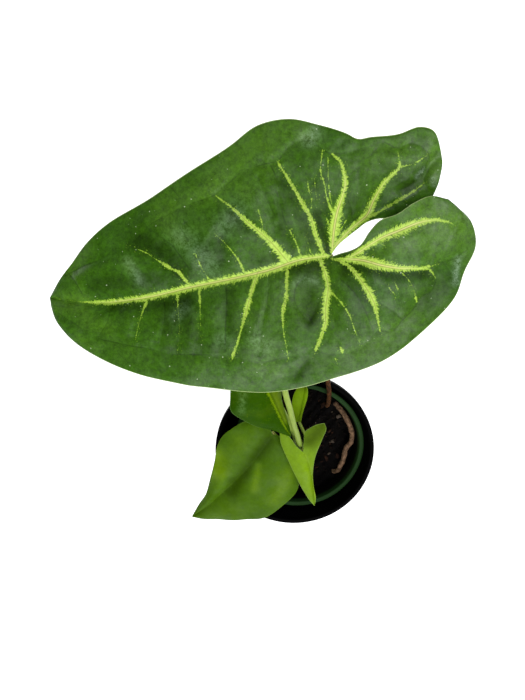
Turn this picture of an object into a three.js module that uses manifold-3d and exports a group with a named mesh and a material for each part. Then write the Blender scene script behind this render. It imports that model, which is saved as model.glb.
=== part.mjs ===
// Potted panda syngonium: five arrow-shaped leaves on bowed stalks, in a plastic pot with a nursery liner.
// Millimetres, +Z up. The origin is the centre of the outer pot's base, where the pot rests.
import * as THREE from 'three';
import { mergeGeometries, mergeVertices } from 'three/addons/utils/BufferGeometryUtils.js';
import Module from 'manifold-3d';

const wasm = await Module();
wasm.setup();

// Driving dimensions
const CLEARANCE = 0.3;
const STALK_SEAT = 0.5;
const OUTER_POT = {
  rimRadius: 50, baseRadius: 35, height: 86, wall: 1.8, floor: 2.5, lipWidth: 2.8, lipHeight: 6,
};
const LINER = {
  centre: [2.9, 0.2], rimRadius: 42, baseRadius: 30, height: 75, wall: 1.1, floor: 1.4,
  lipWidth: 3, lipHeight: 2.4,
};
const LIP_CHAMFER = 0.8;
const SOIL = { belowRim: 12, slack: 0.1, footInset: 1, rings: 9, sides: 32, topBand: 1 };
// Two waves of lumps in the soil's top. Each has its share of the height, and its turns in radians per mm.
const LUMPS = {
  height: 1.5, wide: { share: 0.7, x: 0.45, y: 0.38, shift: 1 }, fine: { share: 0.4, x: 0.9, y: 0.8 },
};
const STEM = {
  centre: [6, -7], radius: 6.2, neckRadius: 5.6, neckChamfer: 0.8, footRadius: 4,
  foot: 44, widest: 58, shoulder: 68, top: 75.7, stalkRing: 4, sides: 20,
};
const POT_SIDES = 64;
const STALK_SIDES = 8;
const RIB = { sides: 6, tipShare: 0.35, spots: [0.06, 0.3, 0.5, 0.7, 0.85, 1], sink: 0.1 };
// Vertices closer than WELD are one. A share below ON_LINE counts as 0.
const WELD = 1e-4;
const ON_LINE = 1e-6;

// A blade is laid out from its junction with the stalk. Every point is [x, y, z] from the junction, in
// the part's own axes. The midrib runs from the tip to the junction. Each half has a sinus edge, from the
// junction to the end of its basal lobe, and a margin, from the tip round to that same lobe end.
const BIG_LEAF = {
  junction: [6.4, 124.2, 185], thickness: 0.8, face: [0, 0, 1], ribRadius: 1.3,
  bodyRows: 28, lobeRows: 14, columns: 8, ripple: 0.9, ribs: 6, wave: 0.7,
  midrib: [[-117.5, -17.5, -13], [-99, -19, -8.5], [-77, -17, -4.5], [-56, -12, -1.5], [-31.5, -6, 0.5],
    [-12, -1, 1]],
  halves: [
    { side: 1, shoulder: 0.55, crown: 4,
      sinus: [[3.5, 1.5, 1.5], [8, 3, 3], [11, 5, 4.5], [14, 10, 6], [17.5, 14, 7], [24, 16.5, 7],
        [30, 20.5, 6.5], [36.5, 23, 5.5], [43.5, 22, 4]],
      margin: [[-114.5, -26, -13], [-107.5, -35, -12], [-96.5, -42, -10], [-79.5, -48.5, -8],
        [-62, -52.5, -6], [-45, -55, -4.5], [-25, -56.5, -3], [-11, -54, -2], [5.5, -48.5, -1.5],
        [22, -42, -1.5], [38, -29.5, -2], [49.5, -17, -2], [53.5, -5.5, -1], [57, 4.5, 0], [54, 13.5, 2],
        [48.5, 18.5, 3]] },
    { side: -1, shoulder: 0.64, crown: 4,
      sinus: [[3, 4.5, -0.5], [7, 8, -1.5], [11, 11, -2.5], [14.5, 13.5, -3.5], [19.5, 15, -4.5],
        [26.5, 15, -5], [34, 17.5, -5], [39.5, 22.5, -4], [41.5, 28, -3]],
      margin: [[-112.5, -10, -12.5], [-107, -3.5, -11.5], [-99, 5.5, -9.5], [-88.5, 13.5, -7.5],
        [-71, 23, -5], [-51, 35, -2.5], [-39, 42, -1.5], [-28.5, 49, -1], [-16.5, 51.5, -1],
        [-5, 49, -0.5], [4.5, 46, 0.5], [9, 44, 1], [14.5, 45, -0.5], [24.5, 46, -1], [32.5, 48.5, -1],
        [38, 47, -1], [41, 41.5, -1.5], [42.5, 36, -2]] },
  ],
};
const LOWER_LEAF = {
  junction: [-14.2, 19.6, 108], thickness: 0.8, face: [-0.15, -0.2, 1], ribRadius: 0.9,
  bodyRows: 20, lobeRows: 5, columns: 6, ripple: 0.6, ribs: 5, wave: 0.6,
  midrib: [[-51, -61, -16], [-41.5, -53, -13], [-31, -42, -9.5], [-19.5, -29, -6], [-12.5, -19.5, -3.5],
    [-6, -10, -1.5]],
  halves: [
    { side: -1, shoulder: 0.78, crown: 2.5,
      sinus: [[-1.5, 3, -0.5], [-5, 6.5, -1], [-10.5, 9, -2]],
      margin: [[-46.5, -52.5, -14.5], [-41.5, -44, -12.5], [-38, -31.5, -9.5], [-35, -19.5, -7],
        [-33, -9, -4.5], [-30, -2.5, -3], [-24.5, 3, -2], [-17.5, 7.5, -1.5]] },
    { side: 1, shoulder: 0.8, crown: 2.5,
      sinus: [[2.5, -0.8, -1], [6, -2.5, -3], [9.2, -6.6, -5.5]],
      margin: [[-44, -62, -15], [-31.5, -61.5, -13], [-19, -60, -10.5], [-7.5, -58, -8.5],
        [2, -52.5, -7.5], [9.5, -45.5, -7.5], [15.5, -37, -7.5], [15.5, -27.5, -7.5], [13.7, -18.5, -7],
        [11.2, -11.5, -6.5]] },
  ],
};
const MIDDLE_LEAF = {
  junction: [-26.3, 78.2, 150], thickness: 0.8, face: [0.2, -0.45, 1], ribRadius: 0.9,
  bodyRows: 18, lobeRows: 5, columns: 6, ripple: 0.5, ribs: 5, wave: 0.5,
  midrib: [[22, -55, -30], [18, -45.5, -24], [12, -30.5, -15], [6.5, -17, -7.5], [3, -7, -2]],
  halves: [
    { side: -1, shoulder: 0.82, crown: 2.5,
      sinus: [[-4, 3, -1], [-7, 7, -3], [-12, 8.5, -6]],
      margin: [[13.5, -51, -28], [3.5, -46.5, -23.5], [-5.5, -40.5, -19], [-10.5, -34.5, -15.5],
        [-10.5, -25.5, -12], [-10, -15, -8], [-13, -3.5, -6], [-15.5, 4.5, -6]] },
    { side: 1, shoulder: 0.82, crown: 2,
      sinus: [[4, 2.5, -1], [8.5, 5, -3], [13.5, 3.5, -7]],
      margin: [[21, -48.5, -26], [18.5, -38.5, -21], [16, -28, -16], [16, -17, -12], [16.5, -7, -9],
        [16, -0.5, -7.5]] },
  ],
};
const ARROW_LEAF = {
  junction: [3, 11.2, 113], thickness: 0.8, face: [0, -0.2, 1], ribRadius: 0.8,
  bodyRows: 13, lobeRows: 8, columns: 5, ripple: 0.3, ribs: 4, wave: 0.3,
  midrib: [[9, -42, -15], [7.5, -31.5, -10.5], [6, -20.5, -6], [3.5, -10, -2.5]],
  halves: [
    { side: -1, shoulder: 0.62, crown: 1.2,
      sinus: [[-3.7, 3.8, 0.5], [-6.8, 8.2, 0.5], [-9.5, 11, 0.5], [-13.5, 12, 0]],
      margin: [[5.5, -37, -12.5], [-0.5, -25, -8], [-6.5, -11, -4], [-10, -2.5, -2], [-13, 6, -0.5]] },
    { side: 1, shoulder: 0.6, crown: 1.2,
      sinus: [[0.3, 6, -0.5], [1, 12, -1], [4, 14.5, -1], [8, 16.5, -1], [12, 17, -1.5]],
      margin: [[9.3, -34.5, -11.5], [7.5, -26, -8], [6.6, -16.5, -5.5], [7.2, -6.5, -4], [9.2, 1, -3],
        [11.2, 7.5, -2], [13.2, 13.5, -1.5]] },
  ],
};
const SMALL_LEAF = {
  junction: [1, 24, 97], thickness: 0.8, face: [0, -0.35, 1], ribRadius: 0.6,
  bodyRows: 10, lobeRows: 2, columns: 4, ripple: 0, ribs: 0, wave: 0.2,
  midrib: [[3, 25.5, 9], [2.5, 20, 7.5], [1.5, 11.5, 4.5]],
  halves: [
    { side: 1, shoulder: 0.85, crown: 0.8,
      sinus: [[-1, -0.6, -0.4], [-2.2, -0.4, -0.4]],
      margin: [[-0.5, 24, 8.5], [-3.5, 18, 7], [-4, 9.5, 4], [-3.4, 3, 1]] },
    { side: -1, shoulder: 0.85, crown: 0.8,
      sinus: [[1, -0.6, -0.4], [2, -0.4, -0.4]],
      margin: [[4.7, 22.5, 8.5], [4.7, 16.5, 6.5], [3.4, 10, 4], [2.2, 3, 1]] },
  ],
};

// A stalk rises from its place on the ring round the stem's top, through hand-picked points, to just below
// the rib at its blade's junction. It leaves the stem and meets the rib straight up, over a short end.
const STALK_END = { foot: 2.5, top: 1.2 };
const STALKS = {
  big_leaf_stalk: { leaf: BIG_LEAF, angle: 90, footRadius: 1.7, topRadius: 1.45, steps: 26,
    path: [[5.6, -0.5, 84], [3.5, 6.5, 98], [1, 16.5, 112], [-1, 24.5, 119], [-3, 31.5, 125],
      [-6, 44.5, 135], [-9, 56.5, 144], [-11.5, 73, 155], [-11, 91.5, 165], [-4.5, 108.5, 173.5],
      [3, 119.8, 177]] },
  lower_leaf_stalk: { leaf: LOWER_LEAF, angle: 210, footRadius: 1.5, topRadius: 1.1, steps: 14,
    path: [[-3.2, -2.5, 87], [-9, 10, 98]] },
  middle_leaf_stalk: { leaf: MIDDLE_LEAF, angle: 150, footRadius: 1.5, topRadius: 1.1, steps: 18,
    path: [[1, -0.5, 85], [0.2, 8, 94], [-2, 20, 107], [-9, 39, 121], [-18, 57, 133], [-25, 71, 143]] },
  arrow_leaf_stalk: { leaf: ARROW_LEAF, angle: -30, footRadius: 1.4, topRadius: 1.1, steps: 12,
    path: [[9, -2.5, 90], [6.8, 4, 102], [4.8, 8.2, 107.5]] },
  small_leaf_stalk: { leaf: SMALL_LEAF, angle: 30, footRadius: 1.3, topRadius: 0.9, steps: 12,
    path: [[8.5, 5, 82], [4, 17, 90]] },
};
const ROOT = { radius: 1.6, steps: 26, path: [[27, 25.5, 64], [30.5, 22, 68], [34.4, 16.4, 70.5],
  [37, 10.5, 71.5], [38.3, 5, 71.5], [37.6, -0.5, 70.5], [35.3, -3.8, 69.5], [34, -9.5, 69], [33, -15, 68.5],
  [30, -22, 66.5], [27, -24, 63]] };
const DRY_STALK = { radius: 1.4, steps: 12, path: [[22.5, 20, 58], [22.3, 27, 70.8], [21.1, 35.8, 82.2],
  [19.8, 43.5, 88.2], [18, 52, 93.5]] };

// The colour and roughness of each piece. The five stalks share one finish.
const FINISHES = {
  outer_pot: { color: 0x0b0b0b, roughness: 0.45 },
  nursery_pot: { color: 0x2c4a2e, roughness: 0.5 },
  soil: { color: 0x231914, roughness: 0.95 },
  stem: { color: 0x9aa45a, roughness: 0.5 },
  root: { color: 0x9b8468, roughness: 0.8 },
  dry_stalk: { color: 0x9a5a22, roughness: 0.8 },
  big_leaf: { color: 0x3f6b2a, roughness: 0.4 },
  lower_leaf: { color: 0x5b7f22, roughness: 0.4 },
  middle_leaf: { color: 0x3d6a16, roughness: 0.4 },
  arrow_leaf: { color: 0x86a03c, roughness: 0.4 },
  small_leaf: { color: 0x93a33a, roughness: 0.4 },
};
const STALK_FINISH = { color: 0xb7c564, roughness: 0.5 };

const vector = (p) => new THREE.Vector3(...p);
const splineThrough = (points) => new THREE.CatmullRomCurve3(points.map(vector), false, 'centripetal');
const bell = (t) => Math.sqrt(Math.max(0, Math.sin(Math.PI * t)));

// The corners of each triangle of an indexed geometry.
function triangles(geometry) {
  const corners = Array.from(geometry.index.array);
  return Array.from({ length: corners.length / 3 }, (_, i) => corners.slice(3 * i, 3 * i + 3));
}

// Turns a closed geometry into a solid that can be joined and cut.
function solidOf(geometry) {
  const bare = geometry.clone();
  bare.deleteAttribute('normal');
  bare.deleteAttribute('uv');
  const merged = mergeVertices(bare, WELD);
  const whole = triangles(merged).filter((triangle) => new Set(triangle).size === 3);
  return new wasm.Manifold(new wasm.Mesh({
    numProp: 3,
    vertProperties: new Float32Array(merged.attributes.position.array),
    triVerts: new Uint32Array(whole.flat()),
  }));
}

// Turns a solid back into a geometry.
function geometryOf(solid) {
  const mesh = solid.getMesh();
  const geometry = new THREE.BufferGeometry();
  geometry.setAttribute('position', new THREE.BufferAttribute(new Float32Array(mesh.vertProperties), 3));
  geometry.setIndex(Array.from(mesh.triVerts));
  return geometry;
}

// Moves every vertex of a geometry to the point that a function gives for it.
function reshape(geometry, place) {
  const position = geometry.attributes.position;
  const point = new THREE.Vector3();
  for (let i = 0; i < position.count; i += 1) {
    const moved = place(point.fromBufferAttribute(position, i).clone());
    position.setXYZ(i, moved.x, moved.y, moved.z);
  }
  return geometry;
}

// A round rod along a spline, its radius given at each share of its length.
function rod(points, radiusAt, steps, sides = STALK_SIDES) {
  const spline = splineThrough(points);
  const frames = spline.computeFrenetFrames(steps, false);
  return reshape(new THREE.CylinderGeometry(1, 1, 1, sides, steps, false), (p) => {
    const share = p.y + 0.5;
    const step = Math.round(share * steps);
    const radius = radiusAt(share);
    return spline.getPointAt(share)
      .addScaledVector(frames.normals[step], p.z * radius)
      .addScaledVector(frames.binormals[step], p.x * radius);
  });
}

// One half of a blade: a thin box bent so that its rows run from the midrib, and past the junction from
// the sinus edge, out to the margin. It stays open along the midrib, where the other half joins it.
function halfBlade(leaf, half) {
  const tip = leaf.midrib[0];
  const lobeEnd = half.sinus[half.sinus.length - 1];
  const midrib = splineThrough([...leaf.midrib, [0, 0, 0]]);
  const sinus = splineThrough([[0, 0, 0], ...half.sinus]);
  const margin = splineThrough([tip, ...half.margin, lobeEnd]);
  const face = vector(leaf.face).normalize();
  const rows = leaf.bodyRows + leaf.lobeRows;
  const acrossAt = (x) => 0.5 + half.side * x;
  const rowAt = (y) => Math.round((y + 0.5) * rows);
  const box = new THREE.BoxGeometry(1, 1, 1, leaf.columns, rows, 1);
  const corner = box.attributes.position;
  const onMidrib = (i) => acrossAt(corner.getX(i)) < ON_LINE && rowAt(corner.getY(i)) <= leaf.bodyRows;
  box.setIndex(triangles(box).filter((triangle) => !triangle.every(onMidrib)).flat());
  return reshape(box, (p) => {
    const across = acrossAt(p.x);
    const row = rowAt(p.y);
    const onBody = row <= leaf.bodyRows;
    const along = onBody ? row / leaf.bodyRows : (row - leaf.bodyRows) / leaf.lobeRows;
    const rowShare = onBody ? half.shoulder * along : half.shoulder + (1 - half.shoulder) * along;
    const inner = onBody ? midrib.getPointAt(along) : sinus.getPointAt(along);
    const spot = inner.lerp(margin.getPointAt(rowShare), across);
    const arch = Math.sin(Math.PI * across) * bell(rowShare);
    const quilt = leaf.ripple * arch * Math.abs(Math.sin(Math.PI * leaf.ribs * rowShare));
    const edgeWave = leaf.wave * across ** 2 * bell(rowShare) * Math.sin(2 * Math.PI * leaf.ribs * rowShare);
    spot.z += half.crown * arch + quilt + edgeWave;
    return spot.addScaledVector(face, p.z * leaf.thickness);
  });
}

// How far below the blade's middle the rib's axis lies, so that its top stays inside the blade.
const ribDepth = (leaf, radius) => radius - leaf.thickness / 2 + RIB.sink;

// The whole blade: both halves, and the midrib that stands out below them.
function blade(leaf) {
  const ribRadius = (share) => leaf.ribRadius * (RIB.tipShare + (1 - RIB.tipShare) * share);
  const midrib = splineThrough([...leaf.midrib, [0, 0, 0]]);
  const ribPath = RIB.spots.map((share) => {
    const spot = midrib.getPointAt(share);
    return [spot.x, spot.y, spot.z - ribDepth(leaf, ribRadius(share))];
  });
  const rib = solidOf(rod(ribPath, ribRadius, Math.round(leaf.bodyRows / 2), RIB.sides));
  const sheet = solidOf(mergeGeometries(leaf.halves.map((half) => halfBlade(leaf, half))));
  return geometryOf(sheet.add(rib)).translate(...leaf.junction);
}

// The points of a stalk, from the stem's top to its seat below the blade.
function stalkPath({ leaf, angle, path }) {
  const turn = THREE.MathUtils.degToRad(angle);
  const footX = STEM.centre[0] + STEM.stalkRing * Math.cos(turn);
  const footY = STEM.centre[1] + STEM.stalkRing * Math.sin(turn);
  const footZ = STEM.top + CLEARANCE;
  const [x, y, z] = leaf.junction;
  const topZ = z - ribDepth(leaf, leaf.ribRadius) - leaf.ribRadius - STALK_SEAT;
  return [[footX, footY, footZ], [footX, footY, footZ + STALK_END.foot], ...path,
    [x, y, topZ - STALK_END.top], [x, y, topZ]];
}

// A pot's wall and floor as one closed outline, turned round the pot's axis, with a lip at the rim.
function pot({ rimRadius, baseRadius, height, wall, floor, lipWidth, lipHeight }, base = 0) {
  const wallOutside = (z) => baseRadius + (rimRadius - lipWidth + wall - baseRadius) * (z / height);
  const lipFoot = height - lipHeight;
  const lipInside = rimRadius - lipWidth;
  const outline = [
    [0, 0], [baseRadius, 0], [wallOutside(lipFoot), lipFoot],
    [rimRadius, lipFoot + LIP_CHAMFER], [rimRadius, height - LIP_CHAMFER], [rimRadius - LIP_CHAMFER, height],
    [lipInside + LIP_CHAMFER, height], [lipInside, height - LIP_CHAMFER],
    [wallOutside(lipFoot) - wall, lipFoot - wall], [wallOutside(floor) - wall, floor], [0, floor],
  ];
  const points = outline.map(([r, z]) => new THREE.Vector2(r, base + z));
  return new THREE.LatheGeometry(points, POT_SIDES).rotateX(Math.PI / 2);
}

const nurseryBase = OUTER_POT.floor + CLEARANCE;
const nurseryPot = () => pot(LINER, nurseryBase).translate(...LINER.centre, 0);

// Soil fills the liner to below its rim. Its top is lumpy, by a sum of sines.
function soil() {
  const inset = LINER.wall + CLEARANCE + SOIL.slack;
  const foot = nurseryBase + LINER.floor + CLEARANCE;
  const top = nurseryBase + LINER.height - SOIL.belowRim;
  const slope = (LINER.rimRadius - LINER.lipWidth + LINER.wall - LINER.baseRadius) / LINER.height;
  const radiusAt = (z) => LINER.baseRadius + slope * (z - nurseryBase) - inset;
  const ring = (share) => [radiusAt(top) * share, top];
  const rings = Array.from({ length: SOIL.rings + 1 }, (_, i) => ring(1 - i / SOIL.rings));
  const outline = [[0, foot], [radiusAt(foot) - SOIL.footInset, foot], ...rings];
  const points = outline.map(([r, z]) => new THREE.Vector2(r, z));
  const heap = new THREE.LatheGeometry(points, SOIL.sides).rotateX(Math.PI / 2);
  return reshape(heap, (p) => {
    if (p.z < top - SOIL.topBand) return p;
    const { height, wide, fine } = LUMPS;
    const wideLump = Math.sin(p.x * wide.x + wide.shift) * Math.cos(p.y * wide.y);
    const fineLump = Math.sin(p.x * fine.x - p.y * fine.y);
    p.z += height * (wide.share * wideLump + fine.share * fineLump - 1);
    return p;
  }).translate(...LINER.centre, 0);
}

// The stem, upright in the soil. The extra makes it larger all round, for cutting its hole.
function stem(extra = 0) {
  const outline = [
    [0, STEM.foot - extra], [STEM.footRadius + extra, STEM.foot - extra],
    [STEM.radius + extra, STEM.widest], [STEM.radius + extra, STEM.shoulder],
    [STEM.neckRadius + extra, STEM.top - STEM.neckChamfer],
    [STEM.neckRadius - STEM.neckChamfer + extra, STEM.top + extra], [0, STEM.top + extra],
  ];
  const points = outline.map(([r, z]) => new THREE.Vector2(r, z));
  return new THREE.LatheGeometry(points, STEM.sides).rotateX(Math.PI / 2).translate(...STEM.centre, 0);
}

// The point that lies a given distance beyond the end of the line from one point to the next.
function beyond(from, to, distance) {
  const end = vector(to);
  return end.add(end.clone().sub(vector(from)).setLength(distance)).toArray();
}

// A rod of one radius. The extra makes it thicker all round and longer at both ends, for cutting its hole.
function plainRod({ path, radius, steps }, extra = 0) {
  if (extra === 0) return rod(path, () => radius, steps);
  const last = path.length - 1;
  const longer = [beyond(path[1], path[0], extra), ...path.slice(1, last),
    beyond(path[last - 1], path[last], extra)];
  return rod(longer, () => radius + extra, steps);
}

// The soil with a plain hole for the stem, the dry stalk and the root.
function soilWithHoles() {
  const cutters = [stem(CLEARANCE), plainRod(DRY_STALK, CLEARANCE), plainRod(ROOT, CLEARANCE)];
  return geometryOf(cutters.reduce((rest, cutter) => rest.subtract(solidOf(cutter)), solidOf(soil())));
}

const plant = new THREE.Group();
function addPiece(name, geometry, finish = FINISHES[name]) {
  const mesh = new THREE.Mesh(geometry, new THREE.MeshStandardMaterial({ ...finish, metalness: 0 }));
  mesh.name = name;
  plant.add(mesh);
}

addPiece('outer_pot', pot(OUTER_POT));
addPiece('nursery_pot', nurseryPot());
addPiece('soil', soilWithHoles());
addPiece('stem', stem());
addPiece('root', plainRod(ROOT));
addPiece('dry_stalk', plainRod(DRY_STALK));
const LEAVES = {
  big_leaf: BIG_LEAF, lower_leaf: LOWER_LEAF, middle_leaf: MIDDLE_LEAF, arrow_leaf: ARROW_LEAF,
  small_leaf: SMALL_LEAF,
};
for (const [name, leaf] of Object.entries(LEAVES)) {
  addPiece(name, blade(leaf));
}
for (const [name, stalk] of Object.entries(STALKS)) {
  const radiusAt = (share) => stalk.footRadius + (stalk.topRadius - stalk.footRadius) * share;
  addPiece(name, rod(stalkPath(stalk), radiusAt, stalk.steps), STALK_FINISH);
}

export default plant;
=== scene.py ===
"""Potted panda syngonium: the finished look of its leaves, stalks, pots and soil.

Everything is in metres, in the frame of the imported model: +Z is up and the origin is the middle of the outer
pot's base. Sizes written in millimetres are turned to metres by MM. Each blade repeats the outline of its
solid, with far more faces, and adds the relief and the yellow-green paint along its veins.
"""
import logging
import math
import random
from dataclasses import dataclass
from enum import Enum
from typing import Callable, Sequence

import bmesh
import bpy
import numpy as np
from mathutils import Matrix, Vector, noise


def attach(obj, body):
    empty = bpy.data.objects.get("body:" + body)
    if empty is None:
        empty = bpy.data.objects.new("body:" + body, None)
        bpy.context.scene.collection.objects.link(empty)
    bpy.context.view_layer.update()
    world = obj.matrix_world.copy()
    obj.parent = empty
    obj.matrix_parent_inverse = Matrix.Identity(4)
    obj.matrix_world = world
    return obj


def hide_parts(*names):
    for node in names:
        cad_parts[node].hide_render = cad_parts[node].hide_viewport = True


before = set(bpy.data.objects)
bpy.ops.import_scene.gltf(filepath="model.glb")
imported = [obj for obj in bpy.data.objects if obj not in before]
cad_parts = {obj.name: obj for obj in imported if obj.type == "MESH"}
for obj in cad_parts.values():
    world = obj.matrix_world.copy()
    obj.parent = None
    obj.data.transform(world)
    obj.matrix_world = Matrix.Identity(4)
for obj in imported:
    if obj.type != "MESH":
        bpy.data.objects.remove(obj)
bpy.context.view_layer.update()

MM = 0.001
BODY = "root"
SEED = 7
# Vertices closer than MERGE are joined, and faces thinner than SLIVER dissolved, in metres.
MERGE = 1e-7
SLIVER = 1e-8
# The radius of a profile's point on the axis, in mm.
ON_AXIS = 0.001
LOG = logging.getLogger("syngonium")

Spot = tuple[float, float, float]
Flat = tuple[float, float]
Tree = bpy.types.NodeTree
Source = bpy.types.Node | bpy.types.NodeSocket


def linear(hex_colour: str) -> tuple[float, float, float, float]:
    """Turns an sRGB hex colour to the linear colour that a shader socket takes.

    Args:
        hex_colour: Six hex digits, without the hash.

    Returns:
        Red, green, blue and an alpha of 1.
    """
    parts = [int(hex_colour[i:i + 2], 16) / 255 for i in (0, 2, 4)]
    red, green, blue = (c / 12.92 if c <= 0.04045 else ((c + 0.055) / 1.055) ** 2.4 for c in parts)
    return red, green, blue, 1.0


def per_metre(size: float) -> float:
    """The scale that gives a pattern on Object coordinates grains of a size in mm."""
    return 1 / (size * MM)


def fill(tree: Tree, node: bpy.types.Node, inputs: dict | tuple) -> None:
    """Sets or links a node's sockets.

    Args:
        tree: The material's node tree.
        node: The node.
        inputs: What goes in each shown socket, by name, or in the sockets' order: a value, a node (its first
            shown output) or an output socket.
    """
    sockets = [socket for socket in node.inputs if socket.enabled]
    if isinstance(inputs, dict):
        sockets = [next(socket for socket in sockets if socket.name == name) for name in inputs]
        inputs = tuple(inputs.values())
    for socket, value in zip(sockets, inputs):
        if isinstance(value, bpy.types.Node):
            value = next(output for output in value.outputs if output.enabled)
        if isinstance(value, bpy.types.NodeSocket):
            tree.links.new(value, socket)
        else:
            socket.default_value = value


def add(tree: Tree, kind: str, inputs: dict | tuple = (), **settings: object) -> bpy.types.Node:
    """Adds one node to a material, with its settings and links.

    Args:
        tree: The material's node tree.
        kind: The node's type name without "ShaderNode".
        inputs: What goes in its sockets, as fill takes it. In the sockets' order, a MapRange takes a value,
            from min, from max, to min and to max, a Mix its factor, A and B, and a TexNoise its place,
            scale, detail and roughness.
        settings: The node's own properties.

    Returns:
        The new node.
    """
    node = tree.nodes.new("ShaderNode" + kind)
    for name, value in settings.items():
        setattr(node, name, value)
    fill(tree, node, inputs)
    return node


def blank_material(name: str) -> tuple[bpy.types.Material, Tree, bpy.types.Node]:
    """Starts a node material.

    Args:
        name: The material's name.

    Returns:
        The material, its node tree and its Principled shader.
    """
    material = bpy.data.materials.new(name)
    material.use_nodes = True
    return material, material.node_tree, material.node_tree.nodes["Principled BSDF"]


def settle(name: str, mesh: bmesh.types.BMesh, material: bpy.types.Material, slot: str,
           *nodes: str) -> bpy.types.Object:
    """Makes a finished piece of a bmesh, smooth all over, which rides on the plant's one body.

    Args:
        name: The piece's name.
        mesh: Its faces, in place. It is freed.
        material: Its finish.
        slot: The name of a material slot. It is not used.
        nodes: The solids that the piece stands for.

    Returns:
        The piece's object.
    """
    for face in mesh.faces:
        face.smooth = True
    data = bpy.data.meshes.new(name)
    mesh.to_mesh(data)
    mesh.free()
    data.materials.append(material)
    piece = bpy.data.objects.new(name, data)
    bpy.context.scene.collection.objects.link(piece)
    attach(piece, BODY)
    if nodes:
        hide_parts(*nodes)
    return piece


class Spline:
    """A smooth curve through points, with centripetal spacing, read by share of its length.

    Its length is measured in FINE steps. No gap between points counts as less than LEAST.
    """

    FINE = 200
    LEAST = 1e-9

    def __init__(self, points: Sequence[Spot]) -> None:
        """Keeps the points and measures the curve.

        Args:
            points: The points that the curve goes through.
        """
        spots = np.array(points, float)
        self.spots = np.vstack([2 * spots[0] - spots[1], spots, 2 * spots[-1] - spots[-2]])
        self.turns = np.linspace(0, len(points) - 1, self.FINE + 1)
        steps = np.linalg.norm(np.diff(self._raw(self.turns), axis=0), axis=1)
        self.travelled = np.concatenate([[0], np.cumsum(steps)])
        self.length = float(self.travelled[-1])

    def _raw(self, turns: np.ndarray) -> np.ndarray:
        """Works out points of the curve.

        Args:
            turns: The number of each point's stretch, with the share along it as the fraction.

        Returns:
            The points.
        """
        first = np.minimum(turns.astype(int), len(self.spots) - 4)
        part = (turns - first)[:, None]
        a, b, c, d = (self.spots[first + i] for i in range(4))
        gaps = [np.sqrt(np.linalg.norm(q - p, axis=1))[:, None] for p, q in ((a, b), (b, c), (c, d))]
        g0, g1, g2 = (np.maximum(gap, self.LEAST) for gap in gaps)
        leave = ((b - a) / g0 - (c - a) / (g0 + g1) + (c - b) / g1) * g1
        reach = ((c - b) / g1 - (d - b) / (g1 + g2) + (d - c) / g2) * g1
        cubic = 2 * b - 2 * c + leave + reach
        square = 3 * (c - b) - 2 * leave - reach
        return b + part * (leave + part * (square + part * cubic))

    def at(self, shares: np.ndarray) -> np.ndarray:
        """Gives the curve's points at shares of its length, from 0 to 1."""
        return self._raw(np.interp(np.asarray(shares) * self.length, self.travelled, self.turns))


class Trace:
    """A path of short straight stretches, seen from above, against which spots are measured, in mm.

    No stretch counts as shorter than LEAST.
    """

    LEAST = 1e-6

    def __init__(self, points: np.ndarray) -> None:
        """Keeps where each stretch starts, its step and its length.

        Args:
            points: x and y of the points between the stretches.
        """
        self.start = points[:-1]
        self.step = np.diff(points, axis=0)
        self.size = np.maximum(np.linalg.norm(self.step, axis=1), self.LEAST)

    def nearest(self, spots: np.ndarray) -> tuple[np.ndarray, np.ndarray, np.ndarray, np.ndarray]:
        """Finds the nearest stretch of each spot.

        Args:
            spots: x and y of each spot.

        Returns:
            For each spot, its distance to the path, the number of its stretch, its share along that stretch,
            which passes 0 or 1 beyond an end, and its offset from the stretch's start.
        """
        away = spots[:, None, :] - self.start[None]
        share = (away * self.step).sum(2) / self.size ** 2
        gap = np.linalg.norm(away - np.clip(share, 0, 1)[..., None] * self.step, axis=2)
        near = gap.argmin(1)
        rows = np.arange(len(spots))
        return gap[rows, near], near, share[rows, near], away[rows, near]


class VeinKind(Enum):
    """What a vein is to its blade: the order in which paint is laid, and how deep it lies."""

    MAIN = 0
    LATERAL = 1
    FINE = 2
    CREASE = 3

    @property
    def attribute(self) -> str:
        """The blade's attribute that places a face corner against its nearest vein of this kind."""
        return f"vein_{self.value}"

    @property
    def valley(self) -> tuple[float, float]:
        """Depth and reach of the sharp-bottomed valley on the upper face, in mm."""
        return {0: (1.8, 7.0), 1: (1.4, 5.5), 2: (0.45, 1.8), 3: (0.9, 2.4)}[self.value]

    @property
    def hold(self) -> tuple[float, float]:
        """How deep the valley is with no paint, as a share, and what each mm of paint adds."""
        return (1.0, 1.0) if self is VeinKind.CREASE else (0.45, 0.4)

    @property
    def rib(self) -> tuple[float, float]:
        """Height and half-width of the rib on the underside, in mm."""
        return {0: (0.9, 1.1), 1: (0.5, 0.9), 2: (0.2, 0.6), 3: (0.0, 1.0)}[self.value]


PAINTED = (VeinKind.MAIN, VeinKind.LATERAL, VeinKind.FINE)


@dataclass(frozen=True)
class Vein:
    """One vein of a blade. A point is x and y from the junction, then its paint's half-width, in mm."""

    kind: VeinKind
    points: tuple[Spot, ...]


def crease(*points: Flat) -> Vein:
    """A bare crease through points x, y from the junction, in mm."""
    return Vein(VeinKind.CREASE, tuple((x, y, 0.0) for x, y in points))


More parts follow.
